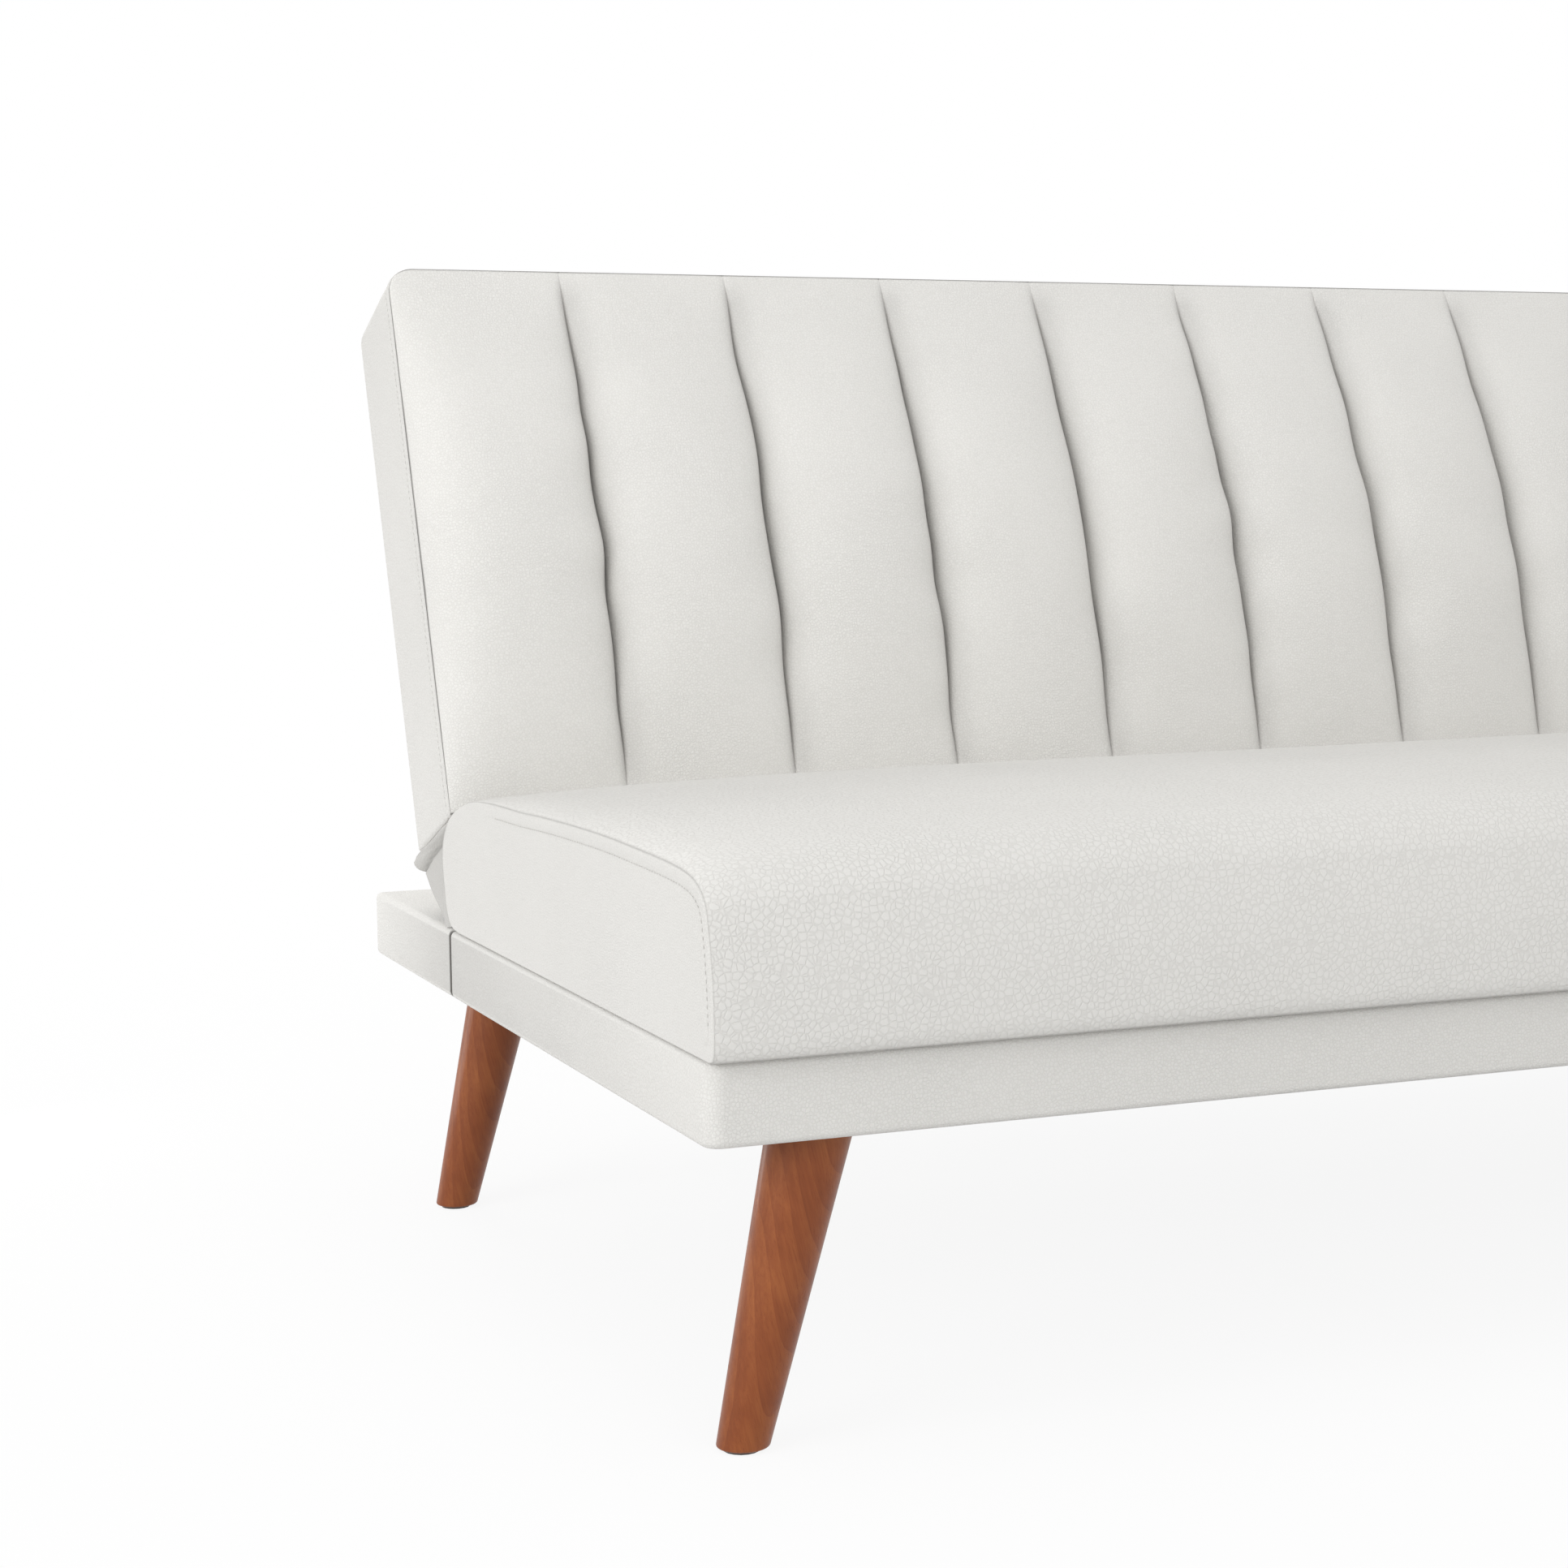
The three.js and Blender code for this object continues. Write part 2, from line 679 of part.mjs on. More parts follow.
function backBracket(side) {
  const [width, top] = [bracketHalfWidth, bracketReach];
  const shoulder = pocketTop - cutOverrun;
  const shape = new THREE.Shape();
  shape.absarc(0, 0, hingeEyeRadius, Math.PI, 2 * Math.PI);
  shape.lineTo(width, pawlNoseRadius);
  shape.lineTo(width, top - hingeEyeRadius / 2);
  shape.lineTo(width - hingeEyeRadius / 2, top);
  shape.lineTo(frameFront, top);
  shape.lineTo(frameFront, shoulder);
  shape.lineTo(-width, shoulder - hingeEyeRadius / 2);
  shape.lineTo(-width, pawlNoseRadius);
  shape.holes.push(circleHole(hingePinRadius + fitGap));
  shape.holes.push(circleHole(pawlPinRadius + fitGap, pawlPivot.x, pawlPivot.y));
  const bolts = bracketBoltHeights().flatMap((height) => [
    sideRod(side, hingeBoltRadius, bracketInner, sideRailOuter, bracketBoltInset, height, 10),
    sideRod(
      side,
      hingeBoltHeadRadius,
      bracketInner - hingeBoltHeadThickness,
      bracketInner,
      bracketBoltInset,
      height,
      6,
    ),
  ]);
  return join([sidePlate(shape, side, bracketInner, bracketOuter), ...bolts]);
}

function pawl(side) {
  const nose = polar(pawlNoseRadius, pawlNoseDegrees + backReclineDegrees);
  const inward = nose.clone().normalize();
  const across = new THREE.Vector2(-inward.y, inward.x);
  const heel = polar(pawlNoseRadius + 2 * pawlNoseHalfWidth, pawlNoseDegrees + backReclineDegrees);
  const arm = new THREE.Shape([
    nose.clone().addScaledVector(across, -pawlNoseHalfWidth),
    heel.clone().addScaledVector(across, -pawlNoseHalfWidth),
    pawlPivot.clone().addScaledVector(inward, pawlEyeRadius * 0.8),
    pawlPivot.clone().addScaledVector(inward, -pawlEyeRadius * 0.4),
    nose.clone().addScaledVector(across, pawlNoseHalfWidth),
  ]);
  const eye = new THREE.Shape().absarc(pawlPivot.x, pawlPivot.y, pawlEyeRadius, 0, 2 * Math.PI);
  const bore = sideRod(
    side,
    pawlPinRadius + fitGap,
    ratchetInner - cutOverrun,
    ratchetOuter + cutOverrun,
    pawlPivot.x,
    pawlPivot.y,
  );
  const body = join([
    sidePlate(eye, side, ratchetInner, ratchetOuter),
    sidePlate(arm, side, ratchetInner, ratchetOuter),
  ]);
  return cut(body, [bore]);
}

function pawlPin(side) {
  const [start, end] = [ratchetInner - fitGap, bracketOuter];
  const { x, y } = pawlPivot;
  return join([
    sideRod(side, pawlPinRadius, start - hingeHeadThickness, end, x, y),
    sideRod(side, pawlPinHeadRadius, start - hingeHeadThickness, start, x, y),
  ]);
}

function addHinges() {
  for (const [side, word] of [[-1, "left"], [1, "right"]]) {
    addPiece(sofa, `hinge_base_bracket_${word}`, baseBracket(side), blackSteel);
    addPiece(sofa, `hinge_pin_${word}`, hingePin(side), steel);
    addPiece(backGroup, `hinge_back_bracket_${word}`, backBracket(side), blackSteel);
    addPiece(backGroup, `pawl_${word}`, pawl(side), steel);
    addPiece(backGroup, `pawl_pin_${word}`, pawlPin(side), steel);
  }
}

// Back cushion: upright channels swell forward of the seam plane and fade at the top and bottom seams. They
// press against each other, so the valleys between them swell too, but not the ends, which are sewn to the sides
const channelSteps = 5;
const channelFlankShare = 3;
const backRowShares = [0.96, 0.88, 0.74, 0.56, 0.38, 0.22, 0.1, 0.04];

function channelSwell(x) {
  const along = ((x + halfWidth) / sofaWidth) * channelCount;
  const fromMiddle = Math.abs(2 * (along - Math.floor(along)) - 1);
  return Math.sqrt(Math.max(0, 1 - fromMiddle ** channelFlankShare));
}

function backRing(x) {
  const channelWidth = sofaWidth / channelCount;
  const outermost = Math.abs(x) > halfWidth - channelWidth / 2;
  const swell = THREE.MathUtils.lerp(outermost ? 0 : channelValley, channelCrown, channelSwell(x));
  const rows = backRowShares.map((share) => {
    const depth = seamFace - swell * Math.sin(Math.PI * share);
    return new THREE.Vector3(x, depth, backBottom + share * backHeight);
  });
  return [
    new THREE.Vector3(x, seamFace, backBottom),
    new THREE.Vector3(x, frameRear, backBottom),
    new THREE.Vector3(x, frameRear, backTop - backTopSlope),
    new THREE.Vector3(x, seamFace, backTop),
    ...rows,
  ];
}

const recessBottom = backBottom + backWall;
const recessTop = backTop - backTopWall;

function backCushion() {
  const columns = channelCount * channelSteps;
  const rings = Array.from({ length: columns + 1 }, (unused, step) => (
    backRing(THREE.MathUtils.lerp(-halfWidth, halfWidth, step / columns))
  ));
  const recessSide = halfWidth - backWall;
  const recess = block(
    [-recessSide, recessFront, recessBottom],
    [recessSide, rearFace, recessTop],
  );
  const pockets = [-1, 1].map((side) => sideBlock(
    side,
    ratchetInner - hingeHeadThickness - hingeHeadThickness,
    bracketOuter + hingeHeadThickness + hingeHeadThickness,
    [-ratchetTipRadius - hingeHeadThickness, backBottom - cutOverrun],
    [rearFace, pocketTop],
  ));
  return cut(loft(rings), [recess, ...pockets]);
}

// Back frame: rails and uprights behind the foam, with webbing straps on their front
function addBackFrame() {
  const lowest = recessBottom + fitGap;
  const highest = recessTop - fitGap;
  const boltHoles = [-1, 1].flatMap((side) => bracketBoltHeights().map((height) => sideRod(
    side,
    hingeBoltRadius + fitGap,
    ratchetInner,
    halfWidth,
    bracketBoltInset,
    height,
    10,
  )));
  for (const [side, word] of [[-1, "left"], [1, "right"]]) {
    const rail = sideBlock(side, sideRailInner, sideRailOuter, [frameFront, lowest], [frameRear, highest]);
    addPiece(backGroup, `back_side_rail_${word}`, cut(rail, boltHoles), timber);
    const upright = sideBlock(
      side,
      crossRailOffset - backUprightWidth / 2,
      crossRailOffset + backUprightWidth / 2,
      [frameFront, bottomRail + backCrossRail + fitGap],
      [frameRear, highest - backCrossRail - fitGap],
    );
    addPiece(backGroup, `back_upright_${word}`, upright, timber);
  }
  const across = bracketInner - fitGap;
  addPiece(backGroup, "back_bottom_rail", block(
    [-across, frameFront, bottomRail],
    [across, frameRear, bottomRail + backCrossRail],
  ), timber);
  const topAcross = sideRailInner - fitGap;
  addPiece(backGroup, "back_top_rail", block(
    [-topAcross, frameFront, highest - backCrossRail],
    [topAcross, frameRear, highest],
  ), timber);
  const strapReach = bracketInner - backUprightWidth - strapWidth;
  const straps = Array.from({ length: strapCount }, (unused, step) => {
    const x = THREE.MathUtils.lerp(-strapReach, strapReach, step / (strapCount - 1));
    return block(
      [x - strapWidth / 2, 0, bottomRail],
      [x + strapWidth / 2, strapThickness, highest],
    );
  });
  const crossStraps = Array.from({ length: crossStrapCount }, (unused, step) => {
    const middle = THREE.MathUtils.lerp(bottomRail, highest, (step + 1) / (crossStrapCount + 1));
    return block(
      [-topAcross, 0, middle - strapWidth / 2],
      [topAcross, strapThickness, middle + strapWidth / 2],
    );
  });
  addPiece(backGroup, "back_webbing", join([...straps, ...crossStraps]), webbing);
}

function rearPanel() {
  const width = sofaWidth - 2 * rearPanelInset;
  const height = backHeight - backTopSlope - 2 * rearPanelInset;
  const shape = roundedRectangle(width, height, rearPanelThickness);
  const options = { depth: rearPanelThickness, bevelEnabled: false, curveSegments: 3 };
  const panel = new THREE.ExtrudeGeometry(shape, options).rotateX(Math.PI / 2);
  return panel.translate(0, rearFace, backBottom + rearPanelInset + height / 2);
}

// Gusset: a folded flap closes each end of the crease between seat and back
const gussetShares = [
  [0.19, 0.01], [0.375, 0.865], [0.59, 1], [0.63, 0.825], [0.89, 0.5], [1.1, 0.17], [1.14, 0.04], [0.98, 0.01],
];

function gusset(side) {
  const shape = new THREE.Shape(gussetShares.map(([along, down]) => (
    new THREE.Vector2(seamFace + along * backThickness, backBottom - down * gussetDrop)
  )));
  const outer = halfWidth - gussetInset;
  return sidePlate(shape, side, outer - gussetThickness, outer);
}

// Assembly
addRails("front_base", 0, frontBaseDepth, railTop, joiningHoles());
const boardBottom = railTop - topBoardThickness;
const rearHoles = [...joiningHoles(), ...hingeBoltHoles()];
addRails("rear_base", rearBaseFront, rearBaseRear, boardBottom - fitGap, rearHoles);
const boardSlab = block(
  [-sofaWidth, 0, boardBottom],
  [sofaWidth, sofaWidth, baseTop],
);
const topBoard = common(insetBlock(rearBaseFront, rearBaseRear, railInset), boardSlab);
addPiece(sofa, "rear_base_top_board", cut(topBoard, hingeBoltHoles()), board);
for (const [side, word] of [[-1, "left"], [1, "right"]]) {
  const [inner, outer] = [crossRailOffset, crossRailOffset + crossRailThickness];
  const crossTop = railBottom + crossRailHeight;
  addPiece(sofa, `front_base_cross_rail_${word}`, sideBlock(
    side,
    inner,
    outer,
    [railInner + fitGap, railBottom],
    [frontBaseDepth - railInner - fitGap, crossTop],
  ), timber);
}
addCover("front_base", 0, frontBaseDepth, joiningHoles(), true);
addCover("rear_base", rearBaseFront, rearBaseRear, rearHoles, false);
addDustCover("front_base", 0, frontBaseDepth, legHoles());
addDustCover("rear_base", rearBaseFront, rearBaseRear, legHoles());
addLegs();
addJoiningBolts();
addPiece(sofa, "seat_cushion", seatCushion(), leather);
addPiece(sofa, "seat_springs", seatSprings(), steel);
addHinges();
addPiece(backGroup, "back_cushion", backCushion(), leather);
addBackFrame();
addPiece(backGroup, "back_rear_panel", rearPanel(), leather);
addPiece(backGroup, "gusset_left", gusset(-1), leather);
addPiece(backGroup, "gusset_right", gusset(1), leather);

// The origin lies on the floor under the middle of the whole sofa
sofa.updateMatrixWorld(true);
const bounds = new THREE.Box3().setFromObject(sofa, true);
sofa.position.set(0, -(bounds.min.y + bounds.max.y) / 2, 0);

export default sofa;
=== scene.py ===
import math

import bmesh
import bpy
import numpy as np
from mathutils import Matrix, Vector


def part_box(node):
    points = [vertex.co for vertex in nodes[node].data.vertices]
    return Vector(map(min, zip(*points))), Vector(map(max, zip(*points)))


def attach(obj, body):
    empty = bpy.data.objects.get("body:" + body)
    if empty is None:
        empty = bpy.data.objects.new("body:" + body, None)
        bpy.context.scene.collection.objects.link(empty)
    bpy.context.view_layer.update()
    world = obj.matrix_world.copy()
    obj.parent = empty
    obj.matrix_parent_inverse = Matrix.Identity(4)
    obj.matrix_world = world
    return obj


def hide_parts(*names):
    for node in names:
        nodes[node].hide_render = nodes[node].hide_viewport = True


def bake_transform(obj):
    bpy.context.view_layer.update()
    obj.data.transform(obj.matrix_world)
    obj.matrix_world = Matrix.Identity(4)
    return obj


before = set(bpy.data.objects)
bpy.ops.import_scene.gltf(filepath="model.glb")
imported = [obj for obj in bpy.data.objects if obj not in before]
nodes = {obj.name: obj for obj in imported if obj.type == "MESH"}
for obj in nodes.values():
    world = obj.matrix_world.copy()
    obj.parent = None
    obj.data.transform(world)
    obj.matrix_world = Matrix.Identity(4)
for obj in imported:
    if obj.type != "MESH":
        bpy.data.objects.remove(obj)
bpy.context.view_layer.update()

halfWidth = 1.035
recline = math.radians(21.1)
hingeY, hingeZ = 0.2144257, 0.3317
backPlace = Matrix.Translation((0, hingeY, hingeZ)) @ Matrix.Rotation(-recline, 4, "X")

# Camera

view = {
    "place": (-1.6218, -2.0964, 0.6101), "yaw": 22.355, "pitch": 5.656, "roll": -0.526,
    "lens": 67.703, "shift": -0.0435,
}


def placeCamera():
    camera = bpy.data.objects.new("camera", bpy.data.cameras.new("camera"))
    bpy.context.scene.collection.objects.link(camera)
    turn = Matrix.Rotation(-math.radians(view["yaw"]), 4, "Z")
    tip = Matrix.Rotation(math.radians(90 - view["pitch"]), 4, "X")
    roll = Matrix.Rotation(math.radians(view["roll"]), 4, "Z")
    camera.matrix_world = Matrix.Translation(view["place"]) @ turn @ tip @ roll
    camera.data.lens = view["lens"]
    camera.data.sensor_width = 36
    camera.data.shift_x = view["shift"]
    camera.data.clip_start = 0.05
    bpy.context.scene.camera = camera


placeCamera()
print("camera placed")

# Shader maths as plain arithmetic


class Wire:
    # one output socket, on which sums add Math nodes
    def __init__(self, graph, socket):
        self.graph = graph
        self.socket = socket

    def math(self, operation, first, second):
        return self.graph.add("Math", {"operation": operation}, {0: first, 1: second})

    def __add__(self, other):
        return self.math("ADD", self, other)

    def __sub__(self, other):
        return self.math("SUBTRACT", self, other)

    def __rsub__(self, other):
        return self.math("SUBTRACT", other, self)

    def __mul__(self, other):
        return self.math("MULTIPLY", self, other)

    __radd__ = __add__
    __rmul__ = __mul__

    def rise(self, low, high, bottom=0.0, top=1.0):
        return self.graph.add("MapRange", {"interpolation_type": "SMOOTHSTEP"}, {
            "Value": self, "From Min": low, "From Max": high, "To Min": bottom, "To Max": top,
        })


class Graph:
    # a node tree under construction
    def __init__(self, tree):
        self.tree = tree
        self.tree.nodes.clear()

    def add(self, kind, settings=None, inputs=None, output=0):
        node = self.tree.nodes.new("ShaderNode" + kind)
        for key, value in (settings or {}).items():
            setattr(node, key, value)
        for key, value in (inputs or {}).items():
            if isinstance(value, Wire):
                self.tree.links.new(value.socket, node.inputs[key])
            else:
                node.inputs[key].default_value = value
        return Wire(self, node.outputs[output])

    def ramp(self, share, *stops):
        shades = self.add("ValToRGB", {}, {"Fac": share}, "Color")
        elements = shades.socket.node.color_ramp.elements
        while len(elements) < len(stops):
            elements.new(0.5)
        for element, (position, colour) in zip(elements, stops):
            element.position = position
            element.color = (*colour, 1)
        return shades

    def end(self, shader, kind="Material"):
        out = self.tree.nodes.new("ShaderNodeOutput" + kind)
        self.tree.links.new(shader.socket, out.inputs["Surface"])


class Finish(Graph):
    # a material, its patterns in the object's own place
    def __init__(self, name):
        self.material = bpy.data.materials.new(name)
        self.material.use_nodes = True
        super().__init__(self.material.node_tree)
        self.place = self.add("TexCoord", output="Object")

    def noise(self, scale, detail=2, roughness=0.5, place=None, output="Fac"):
        return self.add("TexNoise", {}, {
            "Vector": place or self.place, "Scale": scale, "Detail": detail, "Roughness": roughness,
        }, output)

    def cells(self, size, place=None, feature="DISTANCE_TO_EDGE", output="Distance", randomness=0.9):
        return self.add("TexVoronoi", {"feature": feature}, {
            "Vector": place or self.place, "Scale": 1 / size, "Randomness": randomness,
        }, output)

    def warped(self, place, scale, amount):
        lean = self.add("VectorMath", {"operation": "SUBTRACT"}, {
            0: self.noise(scale, place=place, output="Color"), 1: (0.5, 0.5, 0.5),
        })
        shift = self.add("VectorMath", {"operation": "SCALE"}, {0: lean, "Scale": amount})
        return self.add("VectorMath", {"operation": "ADD"}, {0: place, 1: shift})

    def moved(self, location=(0, 0, 0), rotation=(0, 0, 0), scale=(1, 1, 1), place=None):
        return self.add("Mapping", {"vector_type": "POINT"}, {
            "Vector": place or self.place, "Location": location, "Rotation": rotation, "Scale": scale,
        })

    def wave(self, scale, settings, inputs=None, place=None):
        inputs = {"Vector": place or self.place, "Scale": scale, **(inputs or {})}
        return self.add("TexWave", settings, inputs, "Fac")

    def blend(self, share, first, second, way="MIX"):
        colours = {6: first, 7: second}
        colours = {key: value if isinstance(value, Wire) else (*value, 1) for key, value in colours.items()}
        return self.add("Mix", {"data_type": "RGBA", "blend_type": way}, {0: share, **colours}, 2)

    def bump(self, height, distance, strength=1.0, normal=None):
        inputs = {"Height": height, "Distance": distance, "Strength": strength}
        if normal:
            inputs["Normal"] = normal
        return self.add("Bump", {}, inputs)

    def surface(self, colour, roughness, normal, more=None):
        inputs = {"Base Color": colour, "Roughness": roughness, "Normal": normal, **(more or {})}
        self.end(self.add("BsdfPrincipled", {}, inputs))
        return self


# Leather: pebbles with creases between them, finer pores on top, slow soft unevenness below

# the last colour is the near-black that painted shade darkens the leather towards
leatherLook = {
    "colour": (0.80, 0.789, 0.760), "crease": (0.69, 0.677, 0.647), "seam": (0.16, 0.152, 0.142),
    "roughness": 0.58, "soft": 0.0010,
}


def leather(name, pebble, depth, shade=1.0):
    f = Finish(name)
    bent = f.warped(f.place, 0.5 / pebble, pebble * 0.3)
    strength = f.noise(7, 2).rise(0.3, 0.7, 0.6, 1)
    top = f.cells(pebble, bent).rise(0.0, 0.17)
    fineTop = f.cells(pebble * 0.5, bent).rise(0.0, 0.2)
    pores = f.noise(2.6 / pebble, 3, 0.6)
    height = top * 0.8 * strength + fineTop * 0.07 + pores * 0.14
    # seam: a point attribute of painted shade, laid where shade falls in seams, creases, slits and gaps
    seam = f.add("Attribute", {"attribute_name": "seam"}, {}, "Fac")
    # the colour is darker in the creases between the pebbles
    darkerInCreases = f.blend((1 - top) * 0.5 + (1 - fineTop) * 0.06, leatherLook["colour"], leatherLook["crease"])
    # shade scales the brightness: painted light above 1, painted shade below 1
    value = f.noise(3.2, 3).rise(0.2, 0.8, 0.985 * shade, 1.012 * shade)
    tinted = f.add("HueSaturation", {}, {"Value": value, "Color": darkerInCreases})
    colour = f.blend(seam, tinted, leatherLook["seam"])
    roughness = leatherLook["roughness"] + (1 - top) * 0.14 + pores * 0.1 + seam * 0.2
    slow = f.bump(f.noise(16, 2, 0.45), leatherLook["soft"], 0.6)
    return f.surface(colour, roughness, f.bump(height, depth, 0.9, slow), {"Specular IOR Level": 0.3})


# the last number paints light and shade: lit and shaded copies of one leather, lighter on the back and
# darker on the seat, the seat's sides and the boxing
seatLeather = leather("seatLeather", 0.0044, 0.00036, 0.97)
seatSideLeather = leather("seatSideLeather", 0.0019, 0.00017, 0.955)
backLeather = leather("backLeather", 0.0024, 0.00028, 1.03)
shadedBoxingLeather = leather("shadedBoxingLeather", 0.0024, 0.00028, 0.965)
bandLeather = leather("bandLeather", 0.0024, 0.00026)

# Stained wood of the legs: rings about a pith beside the leg, long pores, a clear gloss over them

stainLook = {
    "dark": (0.190, 0.046, 0.012), "middle": (0.268, 0.069, 0.018), "light": (0.395, 0.122, 0.033),
    "ring": 0.0104, "pith": (0.012, -0.052),
}
# a wave texture of scale 1 repeats at this distance
wavePitch = 0.314


def stainedWood(name, foot, tilt):
    f = Finish(name)
    leg = f.moved(location=(-foot[0], -foot[1], 0))
    leg = f.moved(rotation=(0, -tilt, 0), place=leg)
    long = f.moved(location=(*stainLook["pith"], foot[1]), scale=(1, 1, 0.09), place=leg)
    bent = f.warped(long, 9, 0.034)
    rings = {"wave_type": "RINGS", "rings_direction": "Z", "wave_profile": "SAW"}
    ringWave = f.wave(wavePitch / stainLook["ring"], rings, {
        "Distortion": 2.6, "Detail": 2.0, "Detail Scale": 1.4, "Detail Roughness": 0.55,
    }, bent)
    streak = f.noise(420, 3, 0.6, f.moved(scale=(1, 1, 0.035), place=leg))
    pore = f.noise(1500, 2, 0.5, f.moved(scale=(1, 1, 0.05), place=leg))
    cloud = f.noise(22, 3, 0.5, leg)
    grain = ringWave * 0.15 + streak * 0.38 + cloud * 0.62
    shades = (0.22, stainLook["dark"]), (0.52, stainLook["middle"]), (0.84, stainLook["light"])
    colour = f.ramp(grain, *shades)
    poreMask = pore.rise(0.56, 0.72)
    colour = f.blend(poreMask * 0.35, colour, stainLook["dark"])
    height = ringWave * 0.12 - poreMask * 0.5 + streak * 0.25
    return f.surface(colour, 0.42 + poreMask * 0.12 + cloud * 0.08, f.bump(height, 0.00012, 0.7), {
        "Specular IOR Level": 0.22, "Coat Weight": 0.16 + cloud * 0.12, "Coat Roughness": 0.1,
    })


# Finishes of the hidden parts


def frameTimber():
    f = Finish("frameTimber")
    bent = f.warped(f.moved(scale=(0.35, 1, 1)), 5, 0.05)
    rings = {"wave_type": "RINGS", "rings_direction": "X"}
    ringWave = f.wave(34, rings, {"Distortion": 2.4, "Detail": 2}, bent)
    streak = f.noise(260, 3, 0.6, f.moved(scale=(0.06, 1, 1)))
    knots = f.noise(5, 1).rise(0.66, 0.74)
    shades = (0.15, (0.42, 0.25, 0.11)), (0.55, (0.60, 0.41, 0.22)), (0.9, (0.70, 0.52, 0.31))
    colour = f.ramp(ringWave * 0.5 + streak * 0.5, *shades)
    colour = f.blend(knots * 0.5, colour, (0.26, 0.13, 0.06))
    return f.surface(colour, 0.68 + streak * 0.15, f.bump(streak + ringWave * 0.4, 0.0003, 0.6))


def fibreBoard():
    f = Finish("fibreBoard")
    fibres = f.noise(900, 3, 0.7)
    chips = f.cells(0.004, feature="F1", output="Color")
    colour = f.blend(fibres.rise(0.35, 0.65), (0.20, 0.115, 0.06), (0.33, 0.21, 0.12))
    colour = f.blend(0.25, colour, chips, "SOFT_LIGHT")
    return f.surface(colour, 0.7 + fibres * 0.15, f.bump(fibres, 0.0002, 0.6))


def steel(name, dark, light, metal, rough):
    f = Finish(name)
    brushed = f.noise(700, 3, 0.6, f.moved(scale=(0.15, 1, 1)))
    spots = f.noise(55, 4, 0.6)
    colour = f.blend(spots.rise(0.35, 0.7), dark, light)
    roughness = rough + brushed * 0.16 + spots * 0.08
    return f.surface(colour, roughness, f.bump(brushed, 0.00006, 0.5), {"Metallic": metal})


def elasticWebbing():
    f = Finish("elasticWebbing")
    across = f.wave(160, {"bands_direction": "X"}, {"Distortion": 0.4})
    along = f.wave(110, {"bands_direction": "Z"}, {"Distortion": 0.4})
    weave = across * along
    fuzz = f.noise(1800, 2, 0.6)
    colour = f.blend(weave.rise(0.1, 0.8), (0.10, 0.07, 0.05), (0.42, 0.34, 0.25))
    colour = f.blend(fuzz * 0.2, colour, (0.55, 0.48, 0.38))
    return f.surface(colour, 0.78 + fuzz * 0.12, f.bump(weave + fuzz * 0.3, 0.0004, 0.7))


def dustCloth():
    f = Finish("dustCloth")
    dots = f.cells(0.0022, feature="F1", randomness=0.25).rise(0.15, 0.5)
    fibres = f.noise(900, 4, 0.7)
    colour = f.blend(fibres.rise(0.3, 0.75), (0.012, 0.012, 0.013), (0.045, 0.045, 0.047))
    return f.surface(colour, 0.82 + fibres * 0.1, f.bump(dots * 0.6 + fibres * 0.5, 0.0003, 0.7))


def glideNylon():
    f = Finish("glideNylon")
    scuff = f.noise(260, 3, 0.6)
    colour = f.blend(scuff.rise(0.45, 0.8), (0.10, 0.085, 0.075), (0.17, 0.15, 0.135))
    return f.surface(colour, 0.5 + scuff * 0.2, f.bump(scuff, 0.0001, 0.5))


def sewingThread():
    f = Finish("sewingThread")
    twist = f.wave(900, {"bands_direction": "DIAGONAL"})
    fuzz = f.noise(2500, 2)
    colour = f.blend(twist * 0.6 + fuzz * 0.2, (0.66, 0.65, 0.62), (0.50, 0.49, 0.465))
    return f.surface(colour, 0.6 + fuzz * 0.1, f.bump(twist, 0.0001, 0.6))


timber = frameTimber()
board = fibreBoard()
brightSteel = steel("brightSteel", (0.46, 0.46, 0.46), (0.62, 0.62, 0.61), 1.0, 0.26)
blackSteel = steel("blackSteel", (0.018, 0.018, 0.019), (0.035, 0.035, 0.036), 0.4, 0.34)
webbing = elasticWebbing()
cloth = dustCloth()
nylon = glideNylon()
thread = sewingThread()
print("finishes made")


def dress(piece, *finishes):
    piece.data.materials.clear()
    for finish in finishes:
        piece.data.materials.append(finish.material)


nodeFinishes = {
    "rail": timber, "upright": timber, "corner_block": timber, "top_board": board,
    "hanger_bolt": brightSteel, "joining": brightSteel, "hinge_pin": brightSteel, "pawl_pin": brightSteel,
    "springs": brightSteel, "bracket": blackSteel, "pawl_left": blackSteel, "pawl_right": blackSteel,
    "webbing": webbing, "dust_cover": cloth, "glide": nylon,
}
for name, node in nodes.items():
    for word, finish in nodeFinishes.items():
        if word in name:
            dress(node, finish)
            break

# Working helpers


def setMode(mode):
    bpy.ops.object.mode_set(mode=mode)


def deselect():
    if bpy.context.object and bpy.context.object.mode != "OBJECT":
        setMode("OBJECT")
    bpy.ops.object.select_all(action="DESELECT")


def activate(piece):
    deselect()
    piece.select_set(True)
    bpy.context.view_layer.objects.active = piece


def applyPlace(piece):
    activate(piece)
    bpy.ops.object.transform_apply(location=True, rotation=True, scale=True)


def applyModifiers(piece):
    activate(piece)
    for modifier in list(piece.modifiers):
        bpy.ops.object.modifier_apply(modifier=modifier.name)


def smoothBelow(degrees):
    setMode("OBJECT")
    bpy.ops.object.shade_smooth_by_angle(angle=math.radians(degrees))


def thicken(piece, thick):
    # adds a wall behind an open surface
    wall = piece.modifiers.new("wall", "SOLIDIFY")
    wall.thickness = thick
    wall.offset = -1
    applyModifiers(piece)


def block(name, low, high):
    deselect()
    bpy.ops.mesh.primitive_cube_add(size=1, location=(low + high) / 2, scale=high - low)
    piece = bpy.context.object
    piece.name = name
    applyPlace(piece)
    return piece


